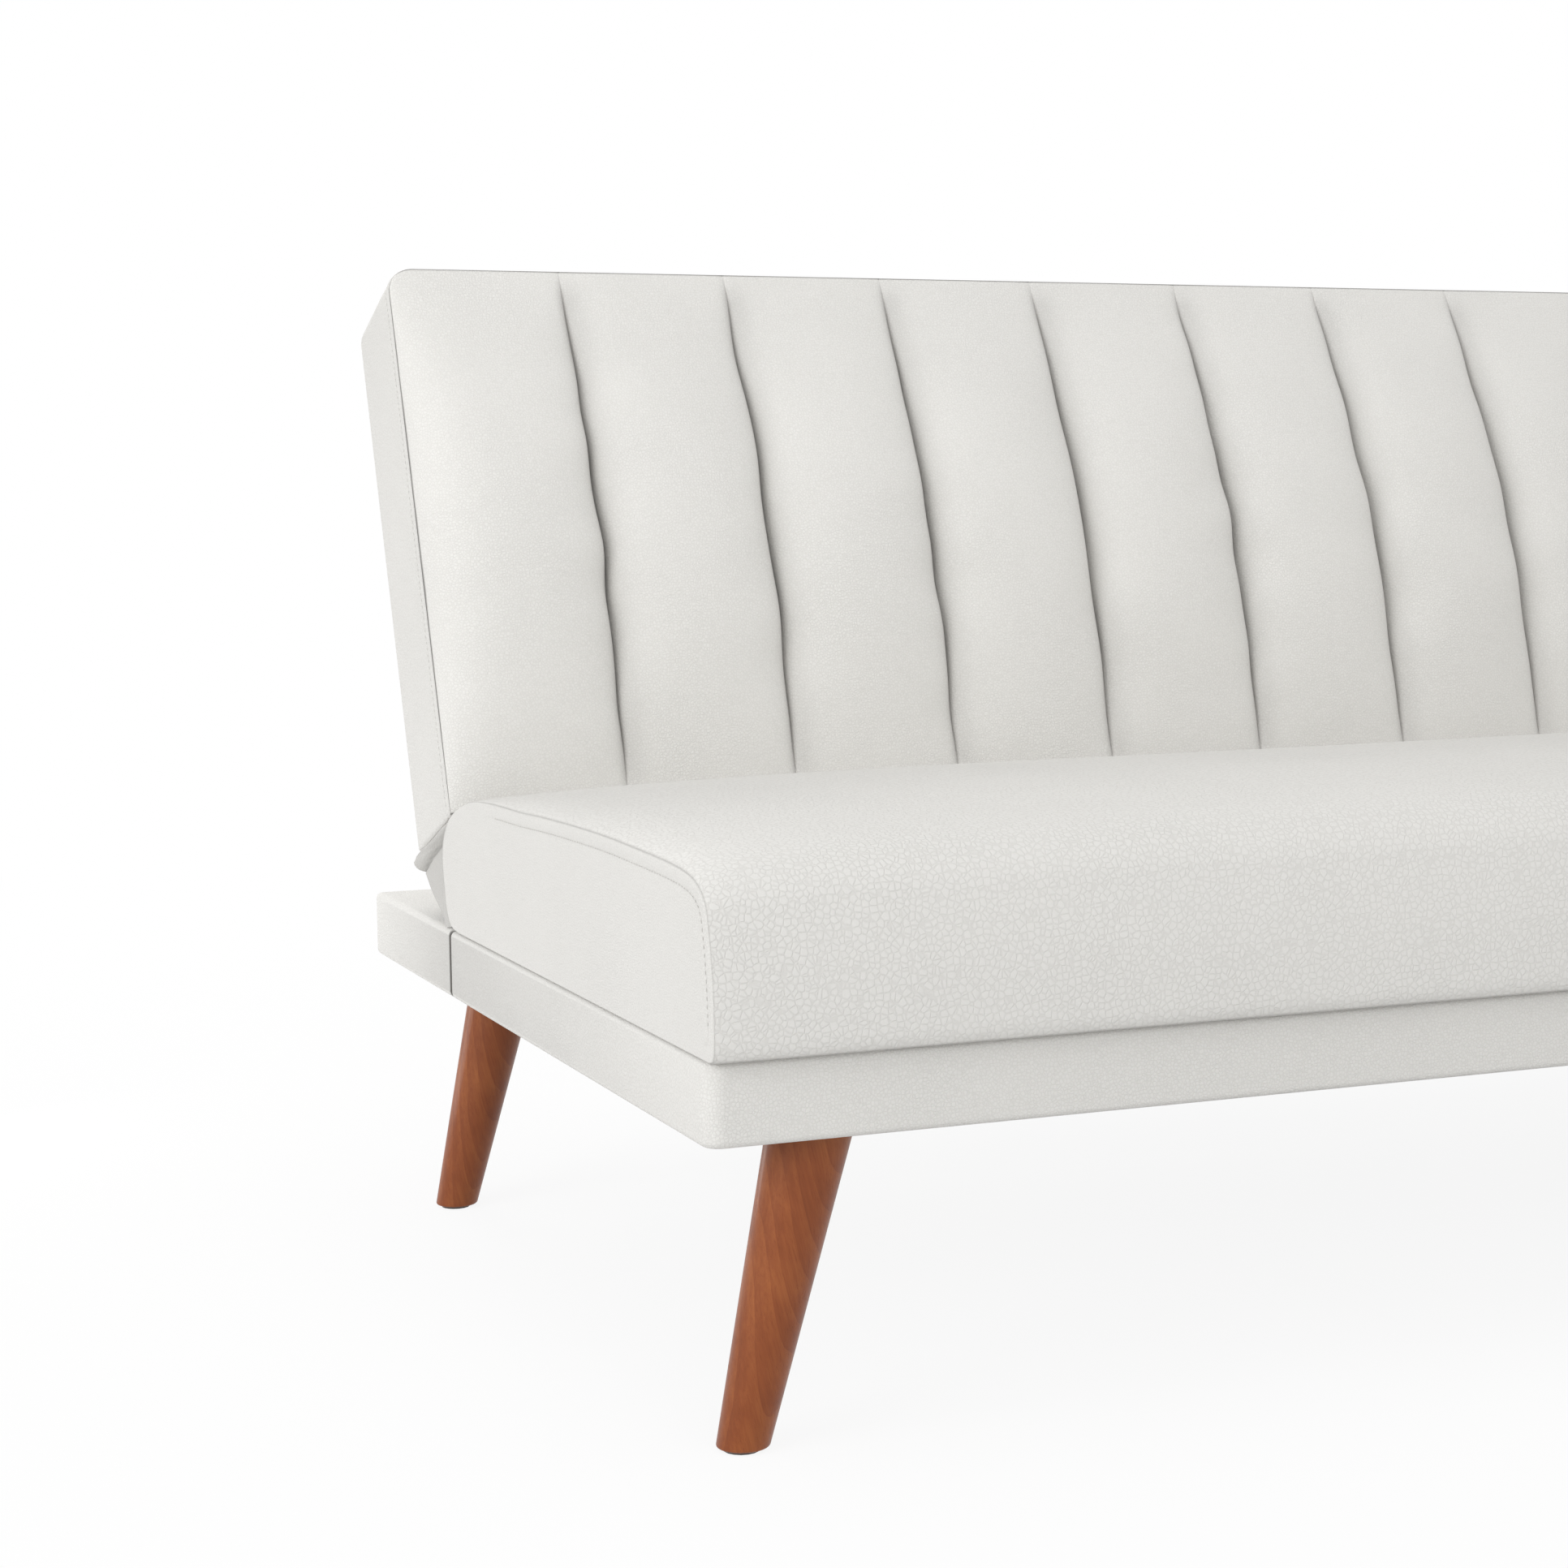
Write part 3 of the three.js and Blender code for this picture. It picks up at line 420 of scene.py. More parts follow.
def pick(piece, kind, test):
    # in edit mode, leave selected only what passes the test
    bpy.ops.mesh.select_mode(type={"edges": "EDGE", "faces": "FACE"}[kind])
    bpy.ops.mesh.select_all(action="DESELECT")
    mesh = bmesh.from_edit_mesh(piece.data)
    for item in getattr(mesh, kind):
        if test(item):
            item.select_set(True)
    mesh.select_flush_mode()
    bmesh.update_edit_mesh(piece.data)


def roundEdges(piece, test, width, segments):
    pick(piece, "edges", test)
    bpy.ops.mesh.bevel(offset=width, segments=segments, affect="EDGES")


def meshPiece(name, points, faces, finishes, sides=()):
    # the faces in the first finish, the sides in the second
    mesh = bpy.data.meshes.new(name)
    mesh.from_pydata([tuple(p) for p in points], [], [*faces, *sides])
    mesh.update()
    piece = bpy.data.objects.new(name, mesh)
    bpy.context.scene.collection.objects.link(piece)
    mesh.polygons.foreach_set("use_smooth", [True] * len(mesh.polygons))
    dress(piece, *finishes)
    if sides:
        mesh.polygons.foreach_set("material_index", [0] * len(faces) + [1] * len(sides))
    return piece


def tidyNormals(piece, merge=0.0):
    mesh = bmesh.new()
    mesh.from_mesh(piece.data)
    if merge:
        bmesh.ops.remove_doubles(mesh, verts=mesh.verts, dist=merge)
    bmesh.ops.recalc_face_normals(mesh, faces=mesh.faces)
    mesh.to_mesh(piece.data)
    mesh.free()


def paintShade(piece, values):
    # writes the painted shade that darkens the leather where shade falls
    seam = piece.data.attributes.new("seam", "FLOAT", "POINT")
    seam.data.foreach_set("value", np.asarray(values, np.float32))


def wander(seed, reach, parts=4):
    # a smooth wandering line, about -1 to 1, whose shortest wave is reach
    chance = np.random.default_rng(seed)
    lengths = reach * (1 + 2.2 * chance.random(parts))
    starts = 2 * np.pi * chance.random(parts)
    sizes = (0.5 + chance.random(parts)) / parts
    waves = list(zip(sizes, lengths, starts))
    return lambda t: sum(size * np.sin(2 * np.pi * t / length + start) for size, length, start in waves)


def smoothstep(value, low, high):
    t = np.clip((value - low) / (high - low), 0, 1)
    return t * t * (3 - 2 * t)


def bell(value, width):
    # 1 in the middle, falling off smoothly to both sides
    return np.exp(-((value / width) ** 2))


def arch(share):
    # from 0 up to 1 and down to 0 again
    return np.sin(math.pi * np.clip(share, 0, 1))


def joinRings(rings):
    # faces between closed rings of point numbers, each ring to the next
    quads = []
    for inner, outer in zip(rings, rings[1:]):
        for k in range(len(inner)):
            after = (k + 1) % len(inner)
            quads.append((inner[k], outer[k], outer[after], inner[after]))
    return quads


def besideRing(ring):
    # the way across a closed line at each of its points, to the right of the way it runs
    tangent = np.roll(ring, -1, 0) - np.roll(ring, 1, 0)
    tangent /= np.linalg.norm(tangent, axis=1)[:, None]
    return np.stack([tangent[:, 1], -tangent[:, 0]], -1)


def runAlong(path):
    # the distance along a path to each of its points
    return np.concatenate([[0], np.cumsum(np.linalg.norm(np.diff(path, axis=0), axis=1))])


def steppedPlaces(places, steps, clear, gap=0.0002):
    # the places, with a pair of them close on both sides of each step
    places = [p for p in places if all(abs(p - step) > clear for step in steps)]
    return np.array(sorted(places + [step + d for step in steps for d in (-gap, gap)]))


# Sewn edges, from the seam inwards: distance from the seam, how far the leather stands out there, and the
# shade painted in and beside the seam's groove and in the stitch line's dip
seatSewnEdge = [
    (0.0000, -0.0006, 0.35), (0.0005, -0.0002, 0.12), (0.0011, 0.0003, 0), (0.0026, 0.0007, 0),
    (0.0050, 0.0009, 0), (0.0080, 0.0008, 0), (0.0093, 0.0005, 0), (0.0102, 0.0002, 0.06),
    (0.0111, 0.0005, 0), (0.0124, 0.0008, 0), (0.0160, 0.0010, 0), (0.0230, 0.0012, 0),
]
sewnEdge = [
    (0.0000, -0.0012, 1.0), (0.0006, -0.0006, 0.75), (0.0013, 0.0003, 0.1), (0.0026, 0.0010, 0),
    (0.0050, 0.0014, 0), (0.0078, 0.0011, 0), (0.0092, 0.0005, 0), (0.0102, 0.0001, 0.16),
    (0.0112, 0.0005, 0), (0.0126, 0.0010, 0), (0.0160, 0.0012, 0), (0.0230, 0.0013, 0),
]

# Back cushion, built in the back's own place: x across, w to its rear, v up from the hinge

backShape = {
    "channels": 14, "steps": 36, "rows": 104,
    "crown": 0.0445, "shoulder": 0.033, "valley": 0.014, "steep": 12,
    # unevenness of the crowns, dents in the flanks, how deep the seams sink and how far they sway
    "uneven": 0.05, "dent": 0.0045, "sink": 0.002, "sway": 0.0022, "swayReach": 0.022,
    # darkness and reach of the painted shadow beside a seam, and of the painted dark line along it
    "shadow": 0.26, "shadowLeft": 0.0045, "shadowRight": 0.0140, "line": 0.1, "lineReach": 0.0016,
    "seamFace": -0.0513, "rear": 0.0597, "bottom": 0.0081, "top": 0.4821, "drop": 0.002,
    "rearRoll": 0.007, "rollDrop": 0.00525, "inset": 0.0016, "corner": 0.022, "edgeDip": 0.0012,
    "recessFace": -0.008, "recessSide": 1.023, "recessBottom": 0.0201, "recessTop": 0.4561,
    "pocketFace": -0.0395, "pocketTop": 0.070, "pocketInner": 0.9848, "pocketOuter": 1.0064,
    # how far the boxing stands out, and its last places before the rear: distance from it, how far out
    "out": 0.0016,
    "rearEdge": [(0.007, 0.0016), (0.0045, 0.0015), (0.0024, 0.0012), (0.001, 0.0008), (0.0002, 0.0002)],
}


backHalf = halfWidth - backShape["inset"]


def upBack(v):
    return (v - backShape["bottom"]) / (backShape["top"] - backShape["bottom"])


def backGrid():
    s = backShape
    turn = -np.cos(np.linspace(0, math.pi, s["steps"] + 1))
    places = [(c + (u + 1) / 2) / s["channels"] for c in range(s["channels"]) for u in turn[:-1]] + [1.0]
    columns = [-backHalf + 2 * backHalf * p for p in places]
    edges = [side * e for side in (-1, 1) for e in (s["pocketInner"], s["pocketOuter"], s["recessSide"])]
    low, high = s["bottom"] + s["inset"], s["top"] - s["inset"]
    turn = np.linspace(0, 1, s["rows"] + 1)
    share = 0.45 * turn + 0.55 * (1 - np.cos(math.pi * turn)) / 2
    rows = [low + (high - low) * t for t in share]
    columns = steppedPlaces(columns, edges, 0.0012)
    return columns, steppedPlaces(rows, [s["recessBottom"], s["pocketTop"], s["recessTop"]], 0.0012)


def backSwell(x, v):
    # the channels press against each other, so the valleys between them swell too; the ends are sewn down
    s = backShape
    along = (x + backHalf) / (2 * backHalf) * s["channels"]
    channel = np.clip(along.astype(int), 0, s["channels"] - 1)
    u = np.clip(2 * (along - channel) - 1, -1, 1)
    crown, dents = np.full_like(x, s["crown"]), np.zeros_like(x)
    for c in range(s["channels"]):
        inside = channel == c
        crown[inside] *= 1 + s["uneven"] * wander(100 + c, 0.15)(v[inside])
        for side, seed in ((-1, 200 + c), (1, 240 + c)):
            flank = inside & (u * side > 0)
            dents[flank] += s["dent"] * wander(seed, 0.05)(v[flank]) * np.abs(u[flank]) ** 2.5
    sewnDown = ((channel == 0) & (u < 0)) | ((channel == s["channels"] - 1) & (u > 0))
    valley = np.where(sewnDown, 0, s["valley"])
    height = arch(upBack(v))
    side = np.sqrt(np.maximum(0, 1 - np.abs(u) ** np.where(sewnDown, 4, s["steep"])))
    across = 1 - np.abs(u) ** 2.2
    swell = valley + (s["shoulder"] - valley) * side + (crown - s["shoulder"]) * across + dents * side ** 0.5
    return swell * height - np.where(sewnDown, 0, s["sink"]) * (1 - side) * smoothstep(height, 0.02, 0.35)


def seamSway(x, v):
    s = backShape
    shift = np.zeros_like(x)
    for c in range(1, s["channels"]):
        seamX = -backHalf + 2 * backHalf * c / s["channels"]
        shift += s["sway"] * wander(300 + c, 0.06)(v) * bell(x - seamX, s["swayReach"])
    return shift * arch(upBack(v)) ** 0.4


def seamShade(x, v):
    # a painted shadow beside each seam, broader to its right, and a painted dark line along it
    s = backShape
    pitch = 2 * backHalf / s["channels"]
    fromSeam = x + backHalf - np.clip(np.round((x + backHalf) / pitch), 1, s["channels"] - 1) * pitch
    reach = np.where(fromSeam > 0, s["shadowRight"], s["shadowLeft"])
    shade = s["shadow"] * bell(fromSeam, reach) + s["line"] * bell(fromSeam, s["lineReach"])
    return shade * smoothstep(arch(upBack(v)), 0.0, 0.22)


def roundCorners(x, v):
    # only the two top corners are rounded
    s = backShape
    r = s["corner"]
    high = s["top"] - s["inset"]
    p = np.clip(1 - (backHalf - np.abs(x)) / r, 0, 1)
    q = np.clip(1 - (high - v) / r, 0, 1)
    corner = (p > 0) & (q > 0)
    newX = np.where(corner, np.sign(x) * (backHalf - r + r * p * np.sqrt(1 - q * q / 2)), x)
    newV = np.where(corner, high - r + r * q * np.sqrt(1 - p * p / 2), v)
    return newX, newV


def rearFace(x, v):
    s = backShape
    across = np.abs(x)
    face = np.full_like(x, s["rear"])
    inRecess = (across < s["recessSide"]) & (v > s["recessBottom"]) & (v < s["recessTop"])
    face[inRecess] = s["recessFace"]
    inPocket = (across > s["pocketInner"]) & (across < s["pocketOuter"]) & (v < s["pocketTop"])
    face[inPocket] = s["pocketFace"]
    return face


def topDrop(w, v):
    # the top falls a little to the rear and rolls over at its rear edge
    s = backShape
    share = np.clip((w - s["seamFace"]) / (s["rear"] - s["seamFace"]), 0, 1)
    near = np.clip(1 - (s["rear"] - w) / s["rearRoll"], 0, 1)
    roll = s["rollDrop"] * (1 - np.sqrt(np.maximum(0, 1 - near * near)))
    return (s["drop"] * share + roll) * np.clip((v - s["recessTop"]) / (s["top"] - s["recessTop"]), 0, 1)


def makeBackCushion():
    s = backShape
    columns, rows = backGrid()
    m, n = len(columns), len(rows)
    x, v = np.meshgrid(columns, rows, indexing="ij")
    roundX, roundV = roundCorners(x, v)
    front = np.stack([roundX + seamSway(x, v), s["seamFace"] - backSwell(x, v), roundV], -1)
    rear = rearFace(x, v)
    back = np.stack([roundX, rear, roundV], -1)
    shade = seamShade(x, v)
    # the seam round the front lies a little deeper, and is painted fully dark as the shade in its groove
    for side in (front[0], front[-1], front[:, 0], front[:, -1]):
        side[:, 1] += s["edgeDip"]
    shade[[0, -1]] = 1
    shade[:, [0, -1]] = 1
    # the way round the edge, anticlockwise as seen from the front
    loop = [(i, 0) for i in range(m)] + [(m - 1, j) for j in range(1, n)]
    loop += [(i, n - 1) for i in range(m - 2, -1, -1)] + [(0, j) for j in range(n - 2, 0, -1)]
    edge = np.array([front[i, j] for i, j in loop])[:, [0, 2]]
    outward = besideRing(edge)
    rearEdge = np.array([rear[i, j] for i, j in loop])
    depth = s["rear"] - s["seamFace"]
    places = list(sewnEdge[1:])
    places += [(d, s["out"], 0) for d in np.linspace(0.03, depth - 0.012, 8)]
    places += [(depth - d, out, 0) for d, out in s["rearEdge"]]
    points, dark = [front.reshape(-1, 3)], [shade.reshape(-1)]
    for distance, out, darkness in places:
        w = np.minimum(s["seamFace"] + distance, rearEdge)
        ring = edge + outward * out
        points.append(np.stack([ring[:, 0], w, ring[:, 1]], -1))
        dark.append(np.full(len(loop), darkness))
    points.append(back.reshape(-1, 3))
    dark.append(np.zeros(m * n))
    frontIndex = lambda i, j: i * n + j
    ringIndex = lambda r, k: m * n + r * len(loop) + k
    rearIndex = lambda i, j: m * n + len(places) * len(loop) + i * n + j
    corners = (0, 0), (1, 0), (1, 1), (0, 1)
    faces = []
    for i in range(m - 1):
        for j in range(n - 1):
            faces.append(tuple(frontIndex(i + a, j + b) for a, b in corners))
            faces.append(tuple(rearIndex(i + b, j + a) for a, b in corners))
    rings = [[frontIndex(i, j) for i, j in loop]]
    rings += [[ringIndex(r, k) for k in range(len(loop))] for r in range(len(places))]
    rings += [[rearIndex(i, j) for i, j in loop]]
    points = np.concatenate(points)
    points[:, 2] -= topDrop(points[:, 1], points[:, 2])
    piece = meshPiece("backCushion", points, faces, [backLeather, shadedBoxingLeather], joinRings(rings))
    paintShade(piece, np.concatenate(dark))
    tidyNormals(piece, 0.00001)
    bpy.context.view_layer.update()
    piece.data.transform(backPlace)
    return piece


backCushion = makeBackCushion()
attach(backCushion, "back")
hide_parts("back_cushion")
print("back cushion made", len(backCushion.data.polygons))

# Seat cushion: a smooth side profile, swept across with a low crown, closed by sewn side panels

seatShape = {
    "front": -0.444574, "depth": 0.630, "bottom": 0.2663, "height": 0.129, "crown": 0.010, "inset": 0.0016,
    # shares of the depth and of the height
    "profile": [
        (0.9472, 0), (0.9824, 0.025), (1.003, 0.11), (1.015, 0.24), (1.0225, 0.38), (1.0215, 0.49),
        (1.0125, 0.58), (0.999, 0.648), (0.980, 0.708), (0.954, 0.763), (0.917, 0.817), (0.870, 0.864),
        (0.8074, 0.905), (0.7204, 0.949), (0.606, 0.979), (0.3664, 1), (0.2356, 0.992), (0.1166, 0.975),
        (0.077, 0.958), (0.0515, 0.928), (0.0325, 0.874), (0.0182, 0.788), (0.0103, 0.664), (0.0039, 0.517),
        (-0.0009, 0.339), (-0.0025, 0.145), (-0.0015, 0.05), (0.004, 0.006), (0.014, 0),
    ],
    "around": 200, "across": 90, "sag": 0.0009,
    "recess": 0.010, "recessSide": 0.975, "recessFront": 0.0396, "recessRear": 0.5926,
    # the top's roll at the ends: its depth, the step at the seam, its reach, where it fades and by how much,
    # and the share of it that the pad's front and rear take
    "endRoll": 0.0115, "seamStep": 0.0009, "rollReach": 0.024, "rollFades": (0.40, 0.57), "rollFade": 0.8,
    "rollLevel": 0.2,
    # the room under the back, and from where to where it begins
    "room": 0.0165, "roomFades": (0.556, 0.606),
    # the side panels: how far out, where the sewing fades, and the shade painted below them and beside the
    # gusset
    "panelOut": 0.0009, "sewingFades": (0.49, 0.56), "underPaintedShade": 0.4, "rearPaintedShadow": 0.55, "rearReach": 0.0018,
}


seatEnd = halfWidth - seatShape["inset"]


def curveThrough(points, count):
    # a smooth line through the points, stepped evenly along its length
    p = np.array(points, float)
    p = np.concatenate([[2 * p[0] - p[1]], p, [2 * p[-1] - p[-2]]])
    blend = lambda t, first, last, near, far: ((last - t) * near + (t - first) * far) / (last - first)
    fine = []
    for four in zip(p, p[1:], p[2:], p[3:]):
        pairs = list(zip(four, four[1:]))
        knots = np.cumsum([0] + [max(np.linalg.norm(far - near) ** 0.5, 1e-9) for near, far in pairs])
        for t in np.linspace(knots[1], knots[2], 16, endpoint=False):
            one = [blend(t, knots[k], knots[k + 1], *pairs[k]) for k in range(3)]
            two = [blend(t, knots[k], knots[k + 2], one[k], one[k + 1]) for k in range(2)]
            fine.append(blend(t, knots[1], knots[2], *two))
    fine = np.array(fine + [p[-2]])
    run = runAlong(fine)
    steps = np.linspace(0, run[-1], count)
    return np.stack([np.interp(steps, run, fine[:, k]) for k in range(fine.shape[1])], -1)


def seatProfile():
    # y and rise above the seat's underside, from the underside's rear round the top to its front, then back
    s = seatShape
    upper = curveThrough([(a * s["depth"], b * s["height"]) for a, b in s["profile"]], s["around"])
    under = steppedPlaces(np.linspace(0.02, 0.58, 16), [s["recessFront"], s["recessRear"]], 0.002)
    return np.concatenate([upper, np.stack([under, np.zeros_like(under)], -1)]), len(upper)


def facingIn(ring):
    beside = besideRing(ring)
    return -beside if ((ring.mean(0) - ring) * beside).sum() < 0 else beside


def seatRing(profile, across, inset):
    # the profile at a place across the seat, drawn in towards the side seams
    s = seatShape
    up = profile[:, 1] / s["height"]
    ring = profile.copy()
    ring[:, 1] += s["crown"] * (1 - min(1, abs(across) / halfWidth) ** 4) * up ** 2
    # under the back, between the ends, the pad lies low: the back's edge comes down here as it tips forward
    between = smoothstep(halfWidth - abs(across), 0.010, 0.045)
    under = smoothstep(profile[:, 0], *s["roomFades"]) * smoothstep(up, 0.25, 0.55)
    ring[:, 1] -= s["room"] * between * under
    inward = facingIn(ring)
    for unused in range(6):
        inward = (np.roll(inward, 1, 0) + inward + np.roll(inward, -1, 0)) / 3
    inward *= inset / np.linalg.norm(inward, axis=1)[:, None]
    # the underside stays level, and the roll fades out where the pad meets the back
    rise = smoothstep(ring[:, 1] / s["height"], 0.02, 0.4)
    rise *= 1 - s["rollFade"] * smoothstep(ring[:, 0], *s["rollFades"])
    return ring + inward * np.stack([np.full_like(rise, s["rollLevel"]), rise], -1)


def along(ring, shares):
    # points at the given shares of the way round a closed ring
    closed = np.concatenate([ring, ring[:1]])
    run = runAlong(closed)
    return np.stack([np.interp(shares * run[-1], run, closed[:, k]) for k in (0, 1)], -1)


def ringsWithin(ring, distances):
    # the ring moved inwards bit by bit, eased as it goes, its points kept in step along it
    count, stride, ease = 900, 0.0003, 0.1
    even = np.arange(count) / count
    run = runAlong(np.concatenate([ring, ring[:1]]))
    fine = along(ring, even)
    rings, reached = [], 0
    for distance in distances:
        while reached < distance - 1e-9:
            step = min(stride, distance - reached)
            fine = fine + facingIn(fine) * step
            fine = fine * (1 - ease) + (np.roll(fine, 1, 0) + np.roll(fine, -1, 0)) * ease / 2
            fine = along(fine, even)
            reached += step
        rings.append(along(fine, run[:-1] / run[-1]))
    return rings


def seatStations():
    # places across the seat: x, how far the profile is drawn in there, and the shade painted at the side
    # seams
    s = seatShape
    roll = s["endRoll"] - s["seamStep"]
    steps = [*np.geomspace(0.0014, 0.13, 24), *np.linspace(0.145, seatEnd - 0.002, s["across"] // 2)]
    stations = [(-seatEnd, s["endRoll"], 0.35), (-seatEnd + 0.0006, roll, 0.1)]
    for d in steppedPlaces(steps, [seatEnd - s["recessSide"]], 0.002):
        fade = math.exp(-((d / s["rollReach"]) ** 0.9)) * (1 - smoothstep(d, 0.05, 0.14))
        stations.append((-seatEnd + d, roll * fade, 0))
    return stations + [(0, 0, 0)] + [(-x, inset, dark) for x, inset, dark in reversed(stations)]


def seatPoints(x, ring):
    s = seatShape
    return np.stack([np.broadcast_to(x, len(ring)), ring[:, 0] + s["front"], ring[:, 1] + s["bottom"]], -1)


def seatSide(profile, sign, underShade):
    # a side panel: rings that step in from the seam to a line along the panel's middle
    s = seatShape
    ring = seatRing(profile, seatEnd, s["endRoll"])
    up = ring[:, 1] / s["height"]
    # the sewing shows along the top and the front, and fades towards the underside and the back
    sewn = smoothstep(up, 0.02, 0.2) * (1 - smoothstep(ring[:, 0], *s["sewingFades"]))
    # painted shadow: the rear edge lies in the gusset's shadow
    rearEdge = smoothstep(ring[:, 0], 0.57, 0.61) * smoothstep(up, 0.1, 0.25)
    rearEdge *= 1 - smoothstep(up, 0.58, 0.68)
    edge = seatSewnEdge[1:]
    points, dark = [], []
    for (distance, out, shade), line in zip(edge, ringsWithin(ring, [place[0] for place in edge])):
        x = seatEnd + s["panelOut"] + (out - s["panelOut"]) * np.maximum(sewn, distance > 0.02)
        points.append(seatPoints(sign * x, line))
        shadow = s["rearPaintedShadow"] * bell(distance, s["rearReach"]) * rearEdge
        dark.append(np.maximum.reduce([shade * sewn, underShade * (distance < 0.001), shadow]))
    return points, dark


def makeSeatCushion():
    s = seatShape
    profile, upperCount = seatProfile()
    count = len(profile)
    under = np.arange(count) >= upperCount
    inRecess = under & (profile[:, 0] > s["recessFront"]) & (profile[:, 0] < s["recessRear"])
    # painted shade: the lowest edge lies in the shaded crease on the base
    underShade = s["underPaintedShade"] * (1 - smoothstep(profile[:, 1], 0.0003, 0.0022))
    sag = [wander(500 + k, 0.35) for k in range(2)]
    stations = seatStations()
    points, dark = [], []
    for x, inset, shade in stations:
        ring = seatRing(profile, x, inset)
        if abs(x) < s["recessSide"]:
            ring[inRecess, 1] += s["recess"]
        soft = s["sag"] * (sag[0](x + profile[:, 0]) + sag[1](x * 0.8 - profile[:, 0] * 1.3))
        soft *= np.clip(profile[:, 1] / s["height"], 0, 1) * smoothstep(seatEnd - abs(x), 0.01, 0.12)
        ring[:, 1] += soft
        points.append(seatPoints(x, ring))
        dark.append(np.maximum(shade * ~under, underShade))
    faces, sides = [], []
    for a in range(len(stations) - 1):
        for k in range(count):
            b = (k + 1) % count
            faces.append((a * count + k, a * count + b, (a + 1) * count + b, (a + 1) * count + k))
    for sign, first in ((-1, 0), (1, len(stations) - 1)):
        panelPoints, panelDark = seatSide(profile, sign, underShade)
        numbers = [first, *range(len(points), len(points) + len(panelPoints))]
        rings = [[a * count + k for k in range(count)] for a in numbers]
        points += panelPoints
        dark += panelDark
        sides += [quad if sign < 0 else quad[::-1] for quad in joinRings(rings)]
        sides.append(tuple(rings[-1] if sign > 0 else rings[-1][::-1]))
    piece = meshPiece("seatCushion", np.concatenate(points), faces, [seatLeather, seatSideLeather], sides)
    paintShade(piece, np.concatenate(dark))
    tidyNormals(piece, 0.00002)
    return piece, profile[:upperCount]


seatCushion, seatEdge = makeSeatCushion()
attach(seatCushion, "base")
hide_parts("seat_cushion")
print("seat cushion made", len(seatCushion.data.polygons))

# Top stitch beside the seams: short raised stitches in the dip

stitchShape = {
    "length": 0.0034, "pitch": 0.0052, "radius": 0.00036, "sides": 6,
    # share of the length, how far it stands out, share of the radius
    "rings": [(0, -0.0004, 0.5), (0.25, 0.0002, 1), (0.75, 0.0002, 1), (1, -0.0004, 0.5)],
    # distance from the seam, and how far the leather stands out there
    "fromSeam": 0.0102, "seatOut": 0.0003, "backOut": 0.0004,
}


def sewRow(points, faces, path, outward):
    # adds stitches along a path of points, with the way out of the leather at each
    s = stitchShape
    run = runAlong(path)
    at = lambda distance, values: np.array([np.interp(distance, run, values[:, k]) for k in range(3)])
    for start in np.arange(s["pitch"], run[-1] - s["pitch"], s["pitch"]):
        base = len(points)
        first, out = at(start, path), at(start, outward)
        span = at(start + s["length"], path) - first
        side = np.cross(span / np.linalg.norm(span), out)
        for share, lift, size in s["rings"]:
            middle = first + span * share + out * lift
            for k in range(s["sides"]):
                a = 2 * math.pi * k / s["sides"]
                points.append(middle + (out * math.sin(a) + side * math.cos(a)) * s["radius"] * size)
        for r in range(len(s["rings"]) - 1):
            for k in range(s["sides"]):
                b = (k + 1) % s["sides"]
                row, after = base + r * s["sides"], base + (r + 1) * s["sides"]
                faces.append((row + k, row + b, after + b, after + k))
        faces.append(tuple(base + k for k in reversed(range(s["sides"]))))
        faces.append(tuple(after + k for k in range(s["sides"])))


def makeSeatStitches():
    s = seatShape
    points, faces = [], []
    line = ringsWithin(seatRing(seatEdge, halfWidth, s["endRoll"]), [stitchShape["fromSeam"]])[0]
    keep = (line[:, 0] < s["sewingFades"][0]) & (np.arange(len(line)) < len(line) - 8)
    for sign in (-1, 1):
        path = seatPoints(sign * (seatEnd + stitchShape["seatOut"]), line[keep])
        sewRow(points, faces, path, np.tile([sign, 0.0, 0.0], (len(path), 1)))
    piece = meshPiece("seatTopStitch", points, faces, [thread])
    tidyNormals(piece)
    return piece


seatStitches = makeSeatStitches()
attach(seatStitches, "base")


def makeBackStitches():
    s = backShape
    low, high, r = s["bottom"] + s["inset"], s["top"] - s["inset"], s["corner"]
    bends = [math.pi * k / 24 for k in range(13)]
    outline = [(-backHalf, low + 0.004)]
    outline += [(-backHalf + r - r * math.cos(a), high - r + r * math.sin(a)) for a in bends]
    outline += [(backHalf - r + r * math.sin(a), high - r + r * math.cos(a)) for a in bends]
    outline += [(backHalf, low + 0.004)]
    outline = np.array(outline)
    fine = np.concatenate([np.linspace(a, b, 60, endpoint=False) for a, b in zip(outline, outline[1:])])
    tangent = np.gradient(fine, axis=0)
    tangent /= np.linalg.norm(tangent, axis=1)[:, None]
    out = np.stack([-tangent[:, 1], tangent[:, 0]], -1)
    line = fine + out * stitchShape["backOut"]
    w = s["seamFace"] + stitchShape["fromSeam"]
    path = np.stack([line[:, 0], np.full(len(line), w), line[:, 1]], -1)
    path[:, 2] -= topDrop(path[:, 1], path[:, 2])
    points, faces = [], []
    sewRow(points, faces, path, np.stack([out[:, 0], np.zeros(len(out)), out[:, 1]], -1))
    piece = meshPiece("backTopStitch", points, faces, [thread])
    tidyNormals(piece)
    piece.data.transform(backPlace)
    return piece


backStitches = makeBackStitches()
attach(backStitches, "back")
print("stitches made")

# Leather bands round the two bases: a block with rolled edges, open below and, in front, above

bandShape = {"frontCorner": 0.013, "roll": 0.005, "sharp": 0.35, "lip": 0.025, "thick": 0.002}


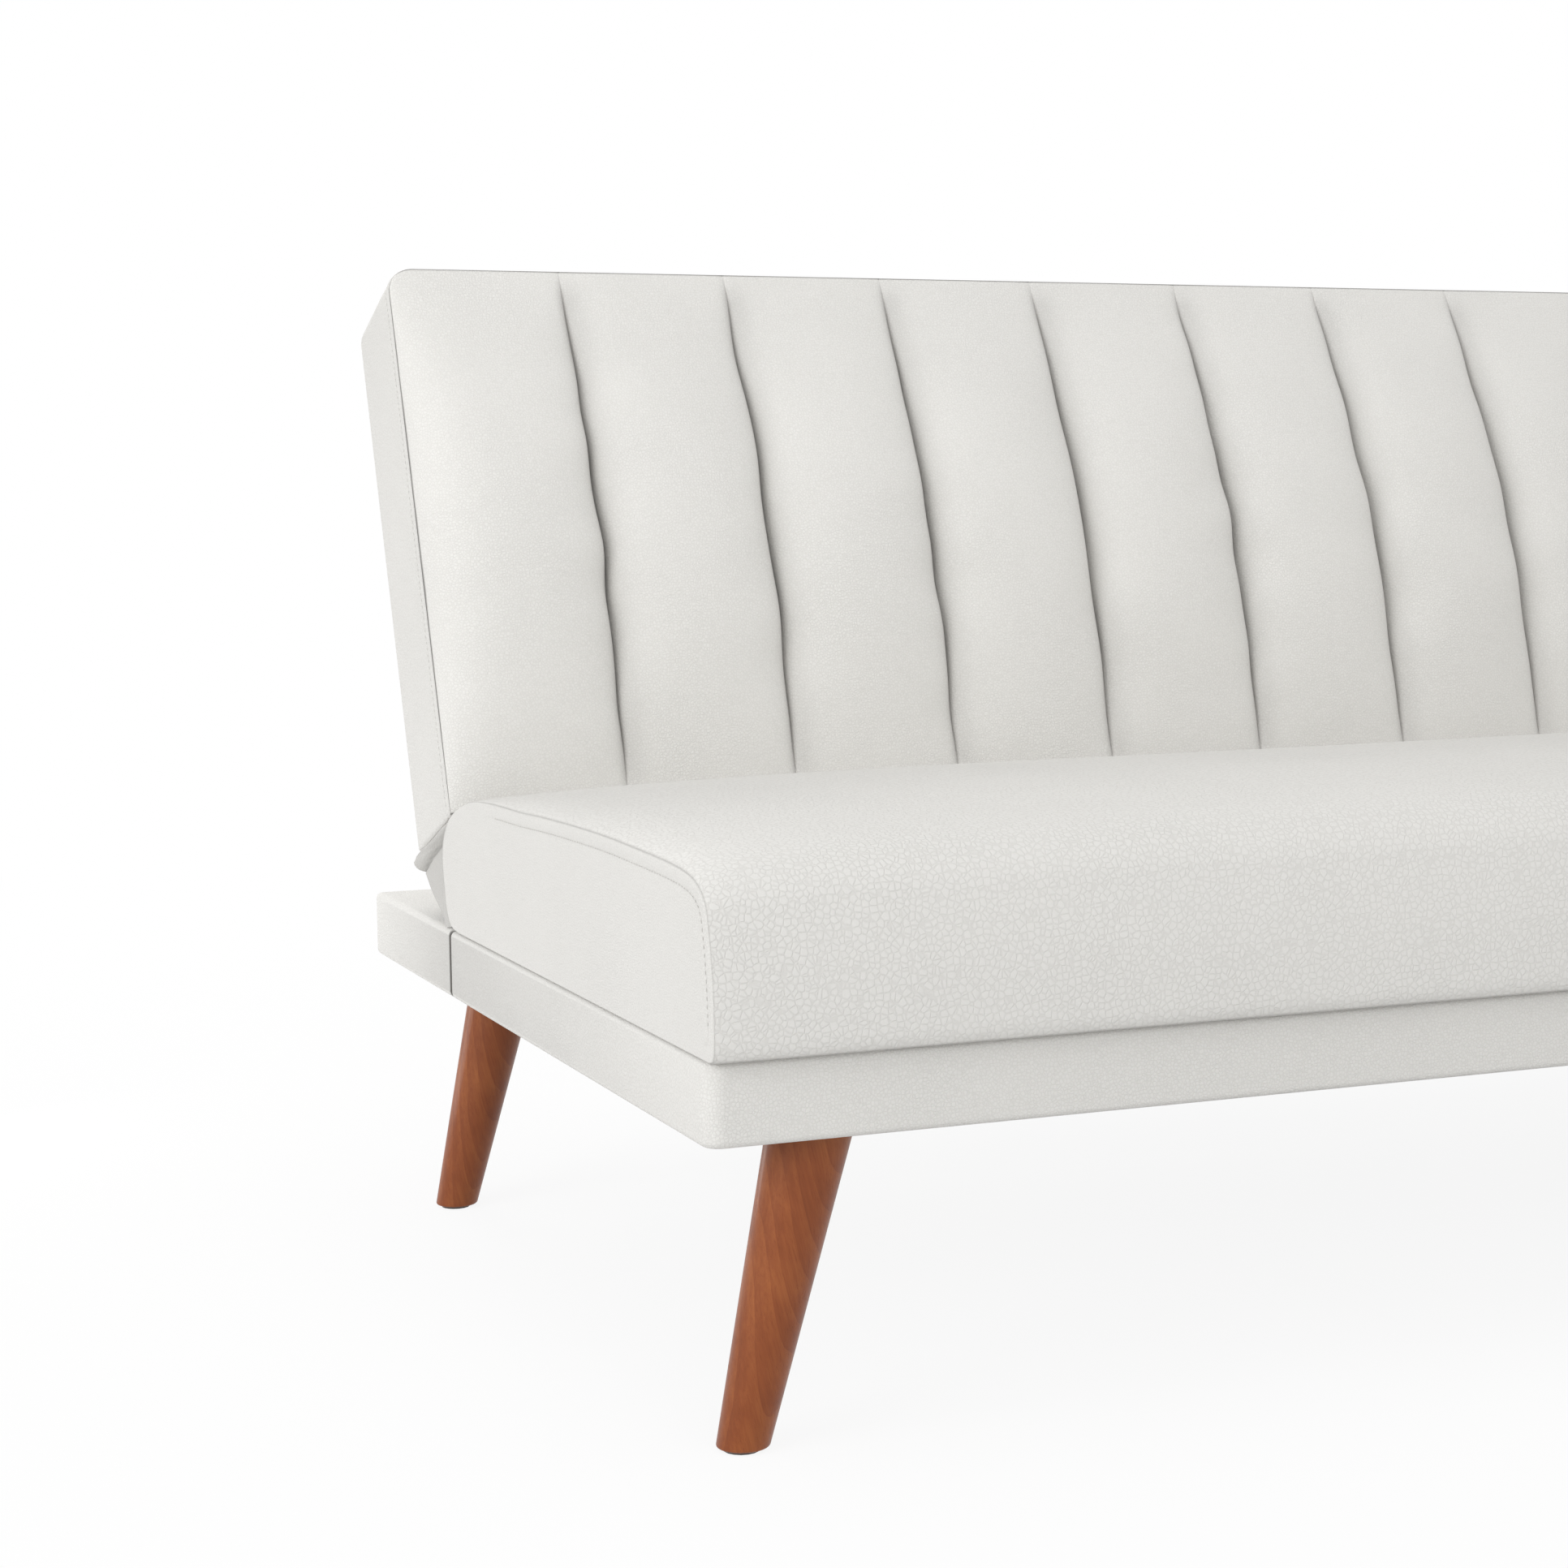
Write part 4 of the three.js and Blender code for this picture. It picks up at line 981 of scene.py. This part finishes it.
def wrapBand(name, node, topOpen):
    s = bandShape
    low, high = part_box(node)
    band = block(name, low, high)
    setMode("EDIT")
    upright = lambda e: abs(e.verts[0].co.z - e.verts[1].co.z) > 0.01
    if topOpen:
        roundEdges(band, lambda e: upright(e) and e.verts[0].co.y < low.y + 0.01, s["frontCorner"], 10)
    setMode("OBJECT")
    # level edges roll fully, the upright edges that are left only a little
    weights = band.data.attributes.new("bevel_weight_edge", "FLOAT", "EDGE")
    for edge in band.data.edges:
        ends = [band.data.vertices[k].co for k in edge.vertices]
        level = abs(ends[0].z - ends[1].z) < 1e-5
        square = abs(ends[0].x) > halfWidth - 0.001 and (ends[0].y > high.y - 0.001 or not topOpen)
        weights.data[edge.index].value = 1.0 if level else s["sharp"] if square else 0.0
    roll = band.modifiers.new("roll", "BEVEL")
    roll.limit_method = "WEIGHT"
    roll.width = s["roll"]
    roll.segments = 6
    roll.use_clamp_overlap = False
    applyModifiers(band)
    band.select_set(True)
    setMode("EDIT")
    openings = [-1] + ([1] if topOpen else [])
    size = high - low
    for way in openings:
        pick(band, "faces", lambda f: f.normal.z * way > 0.99 and f.calc_area() > 0.1)
        bpy.ops.mesh.extrude_region()
        shrink = [1 - 2 * (s["lip"] - s["roll"]) / (size[k] - 2 * s["roll"]) for k in (0, 1)]
        bpy.ops.transform.resize(value=(*shrink, 1), center_override=(low + high) / 2)
        bpy.ops.mesh.delete(type="FACE")
    setMode("OBJECT")
    thicken(band, s["thick"])
    smoothBelow(40)
    # painted shade: the leather is darkened where it turns into the split between the two bases, where shade
    # falls
    split = high.y if topOpen else low.y
    shade = lambda y: 0.97 * (1 - smoothstep(abs(y - split), 0.0004, 0.0024))
    paintShade(band, [shade(p.co.y) for p in band.data.vertices])
    dress(band, bandLeather)
    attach(band, "base")
    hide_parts(node)


wrapBand("frontBand", "front_base_cover", True)
wrapBand("rearBand", "rear_base_cover", False)
print("base bands wrapped")

# Legs: turned taper, splayed to the side, cut flat at the floor and under the base

legShape = {
    "foot": 0.017, "taper": 0.0515, "splay": math.atan(0.239), "inset": 0.0438,
    "low": 0.0023, "high": 0.2107,
    # length to be cut off at each end, and the rounding at the floor
    "spare": 0.03, "edge": 0.0018,
}


def turnLeg(name, word, side):
    s = legShape
    low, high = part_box(name)
    foot = (side * (halfWidth - s["inset"]), (low.y + high.y) / 2)
    length = s["high"] / math.cos(s["splay"])
    start, end = -s["spare"], length + s["spare"]
    deselect()
    bpy.ops.mesh.primitive_cone_add(
        vertices=72, radius1=s["foot"] + s["taper"] * start, radius2=s["foot"] + s["taper"] * end,
        depth=end - start, location=(0, 0, (start + end) / 2),
    )
    leg = bpy.context.object
    leg.name = "leg" + word
    tilt = Matrix.Rotation(-side * s["splay"], 4, "Y")
    leg.matrix_world = Matrix.Translation((*foot, 0)) @ tilt @ leg.matrix_world
    applyPlace(leg)
    setMode("EDIT")
    for height, cut in ((s["low"], "clear_inner"), (s["high"], "clear_outer")):
        bpy.ops.mesh.select_all(action="SELECT")
        bpy.ops.mesh.bisect(plane_co=(0, 0, height), plane_no=(0, 0, 1), use_fill=True, **{cut: True})
    roundEdges(leg, lambda e: all(abs(p.co.z - s["low"]) < 1e-5 for p in e.verts), s["edge"], 4)
    smoothBelow(50)
    dress(leg, stainedWood("stainedWood" + word, foot, side * s["splay"]))
    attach(leg, "base")
    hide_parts(name)


for end in ("front", "rear"):
    for hand, side in (("left", -1), ("right", 1)):
        turnLeg(f"leg_{end}_{hand}", end.title() + hand.title(), side)
print("legs turned")

# Rear panel of the back: flat leather over board, its edge rolled and stitched

panelShape = {
    "inset": 0.0015, "front": 0.0598, "rear": 0.0637, "corner": 0.022, "edge": 0.0022,
    # the stitched line: distance from the edge, half its width, its depth
    "lineAt": 0.009, "lineHalf": 0.0012, "lineDepth": 0.0007,
}


def makeRearPanel():
    s, b = panelShape, backShape
    low = Vector((-halfWidth + s["inset"], s["front"], b["bottom"] + s["inset"]))
    top = b["top"] - b["drop"] - b["rollDrop"]
    high = Vector((halfWidth - s["inset"], s["rear"], top - s["inset"]))
    panel = block("backRearPanel", low, high)
    setMode("EDIT")
    roundEdges(panel, lambda e: abs(e.verts[0].co.y - e.verts[1].co.y) > 0.001, s["corner"], 8)
    pick(panel, "faces", lambda f: f.normal.y > 0.99)
    bpy.ops.mesh.inset(thickness=s["lineAt"])
    for depth in (-s["lineDepth"], s["lineDepth"]):
        bpy.ops.mesh.inset(thickness=s["lineHalf"], depth=depth)
    isRim = lambda e: all(abs(p.co.y - s["rear"]) < 1e-5 for p in e.verts) and len(e.link_faces) == 2
    roundEdges(panel, lambda e: isRim(e) and any(abs(f.normal.y) < 0.1 for f in e.link_faces), s["edge"], 5)
    smoothBelow(50)
    dress(panel, backLeather)
    panel.data.transform(backPlace)
    return panel


rearPanel = makeRearPanel()
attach(rearPanel, "back")
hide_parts("back_rear_panel")
print("rear panel made")

# Gussets: folded leather at the ends of the crease, a roll under the back, a web, a roll beside the seat

gussetShape = {
    # share of the way down, then w and v of the edge at the seat, of the pleat and of the rear edge
    "rows": [
        (0.00, -0.052, 0.0105, 0.012, 0.0105, 0.064, 0.0115),
        (0.09, -0.049, 0.0080, 0.010, 0.0055, 0.081, 0.0060),
        (0.18, -0.042, 0.0045, 0.004, 0.0000, 0.078, -0.0035),
        (0.32, -0.034, -0.0090, 0.004, -0.0085, 0.069, -0.0110),
        (0.45, -0.025, -0.0230, 0.012, -0.0180, 0.060, -0.0200),
        (0.75, -0.014, -0.0500, 0.021, -0.0440, 0.041, -0.0410),
        (1.00, -0.010, -0.0725, 0.015, -0.0670, 0.023, -0.0635),
    ],
    "across": 60, "down": 72, "face": 1.0268, "thick": 0.0016,
    # the roll under the back: share of the way down, height, the line sewn in it and the crease below, with
    # the shade painted in the crease
    "fold": 0.18, "upper": 0.0072, "line": 0.0011, "lineAt": 0.10, "lineReach": 0.012,
    "crease": 0.0012, "creaseReach": 0.022, "creasePaintedShade": 0.62,
    # the roll beside the seat, the slit in it and the pleat behind it, as shares of the way across, with the
    # shade painted in the slit and the pleat
    "standing": 0.0078, "slitAt": 0.28, "slit": 0.0046, "slitReach": 0.032, "slitPaintedShade": 0.95,
    "pleatAt": 0.42, "pleat": 0.0008, "pleatReach": 0.022, "pleatPaintedShade": 0.45,
    # the web behind the pleat, ripples all over, limits of the relief, and the shade painted over the whole
    "web": 0.0022, "ripple": 0.0005, "least": -0.0010, "most": 0.0080, "dark": 0.28,
}


def gussetRelief(a, t):
    # how far the leather stands out at a share across and a share down, and the shade painted there
    s = gussetShape
    wave = s["fold"] * (1 + 0.10 * math.sin(7 * a + 0.6))
    upper = s["upper"] * arch(t / wave) ** 0.7 * smoothstep(a, -0.25, 0.35)
    line = bell(t - s["lineAt"] - 0.03 * math.sin(4 * a), s["lineReach"]) * smoothstep(a, 0.3, 0.6)
    crease = bell(t - wave, s["creaseReach"])
    standing = s["standing"] * arch(a / s["pleatAt"]) ** 0.7 * smoothstep(t, s["fold"], 0.36)
    standing *= 1 - 0.25 * t
    slit = bell(a - s["slitAt"], s["slitReach"]) * smoothstep(t, 0.30, 0.45) * (1 - smoothstep(t, 0.7, 0.88))
    pleat = bell(a - s["pleatAt"], s["pleatReach"]) * smoothstep(t, 0.24, 0.4)
    web = s["web"] * max(0, (a - s["pleatAt"]) / (1 - s["pleatAt"])) * arch((t - wave) / 0.7)
    out = upper + standing + web + s["ripple"] * math.sin(9 * a + 5 * t)
    out -= s["line"] * line + s["crease"] * crease + s["slit"] * slit + s["pleat"] * pleat
    # painted shade: darkest in the crease, the slit and the pleat, and never lighter than the shade painted
    # over the whole
    darkest = s["creasePaintedShade"] * crease ** 2, s["slitPaintedShade"] * slit ** 2, s["pleatPaintedShade"] * pleat
    return min(s["most"], max(s["least"], out)), max(s["dark"], *darkest)


def makeGusset(name, side):
    s = gussetShape
    lines = curveThrough(s["rows"], 300)
    points, dark = [], []
    for j in range(s["down"] + 1):
        t = j / s["down"]
        edges = [np.interp(t, lines[:, 0], lines[:, k]) for k in range(1, 7)]
        for i in range(s["across"] + 1):
            a = i / s["across"]
            w, v = [np.interp(a, [0, s["pleatAt"], 1], edges[k::2]) for k in (0, 1)]
            out, shade = gussetRelief(a, t)
            points.append((side * (s["face"] + out), w, v))
            dark.append(shade)
    faces = []
    for j in range(s["down"]):
        for i in range(s["across"]):
            k = j * (s["across"] + 1) + i
            quad = (k, k + 1, k + s["across"] + 2, k + s["across"] + 1)
            faces.append(quad if side < 0 else quad[::-1])
    piece = meshPiece(name, points, faces, [seatSideLeather])
    paintShade(piece, dark)
    thicken(piece, s["thick"])
    piece.data.transform(backPlace)
    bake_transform(piece)
    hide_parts(name.replace("gussetL", "gusset_l").replace("gussetR", "gusset_r"))


makeGusset("gussetLeft", -1)
makeGusset("gussetRight", 1)
print("gussets folded")

# Floor, background and lights

stageLook = {"floor": (0.84, 0.84, 0.84), "near": 0.90, "world": 0.66}
# name, place, what it points at, size, power
lights = [
    ("windowSide", (-4.6, -1.5, 1.8), (-0.3, 0, 0.4), (2.6, 2.2), 62.5),
    ("overhead", (-0.5, -0.6, 5.4), (-0.2, 0, 0.4), (5.0, 4.0), 42),
    ("frontFill", (-1.2, -5.0, 2.3), (0.1, 0, 0.5), (3.4, 2.0), 31),
    ("rearFill", (-0.85, 2.6, 2.1), (-0.95, 0.4, 0.27), (0.8, 1.0), 24),
    ("lowFill", (-1.5, 0.75, 0.12), (-1.03, 0.3, 0.24), (0.4, 0.2), 0.5),
]


def areaLight(name, place, target, size, power):
    light = bpy.data.lights.new(name, "AREA")
    light.shape = "RECTANGLE"
    light.size, light.size_y = size
    light.energy = power
    lamp = bpy.data.objects.new(name, light)
    lamp.location = place
    lamp.rotation_euler = (Vector(target) - Vector(place)).to_track_quat("-Z", "Y").to_euler()
    lamp.visible_camera = False
    bpy.context.scene.collection.objects.link(lamp)


def makeStage():
    deselect()
    bpy.ops.mesh.primitive_plane_add(size=60, location=(0, 0, 0))
    floor = bpy.context.object
    floor.name = "floor"
    f = Finish("paleFloor")
    path = [f.add("LightPath", output=f"Is {word} Ray") for word in ("Camera", "Glossy", "Transmission")]
    speck = f.noise(30, 2)
    diffuse = f.add("BsdfDiffuse", {}, {"Color": (*stageLook["floor"], 1), "Roughness": 0.5 + speck * 0.1})
    glow = f.add("Emission", {}, {"Color": (1, 1, 1, 1), "Strength": 1.0})
    away = f.add("VectorMath", {"operation": "LENGTH"}, {0: f.place}, "Value")
    seen = (path[0] + path[1] + path[2]) * away.rise(1.1, 3.0, stageLook["near"], 1.0)
    f.end(f.add("MixShader", {}, {0: seen, 1: diffuse, 2: glow}))
    dress(floor, f)
    world = bpy.data.worlds.new("studio")
    bpy.context.scene.world = world
    world.use_nodes = True
    g = Graph(world.node_tree)
    path = [g.add("LightPath", output=f"Is {word} Ray") for word in ("Camera", "Transmission")]
    lit = path[0].math("MAXIMUM", *path).rise(0.0, 1.0, stageLook["world"], 1.0)
    g.end(g.add("Background", {}, {"Color": (1, 1, 1, 1), "Strength": lit}), "World")
    for light in lights:
        areaLight(*light)
    bpy.context.scene.view_settings.view_transform = "Standard"


makeStage()
print("stage and lights set")
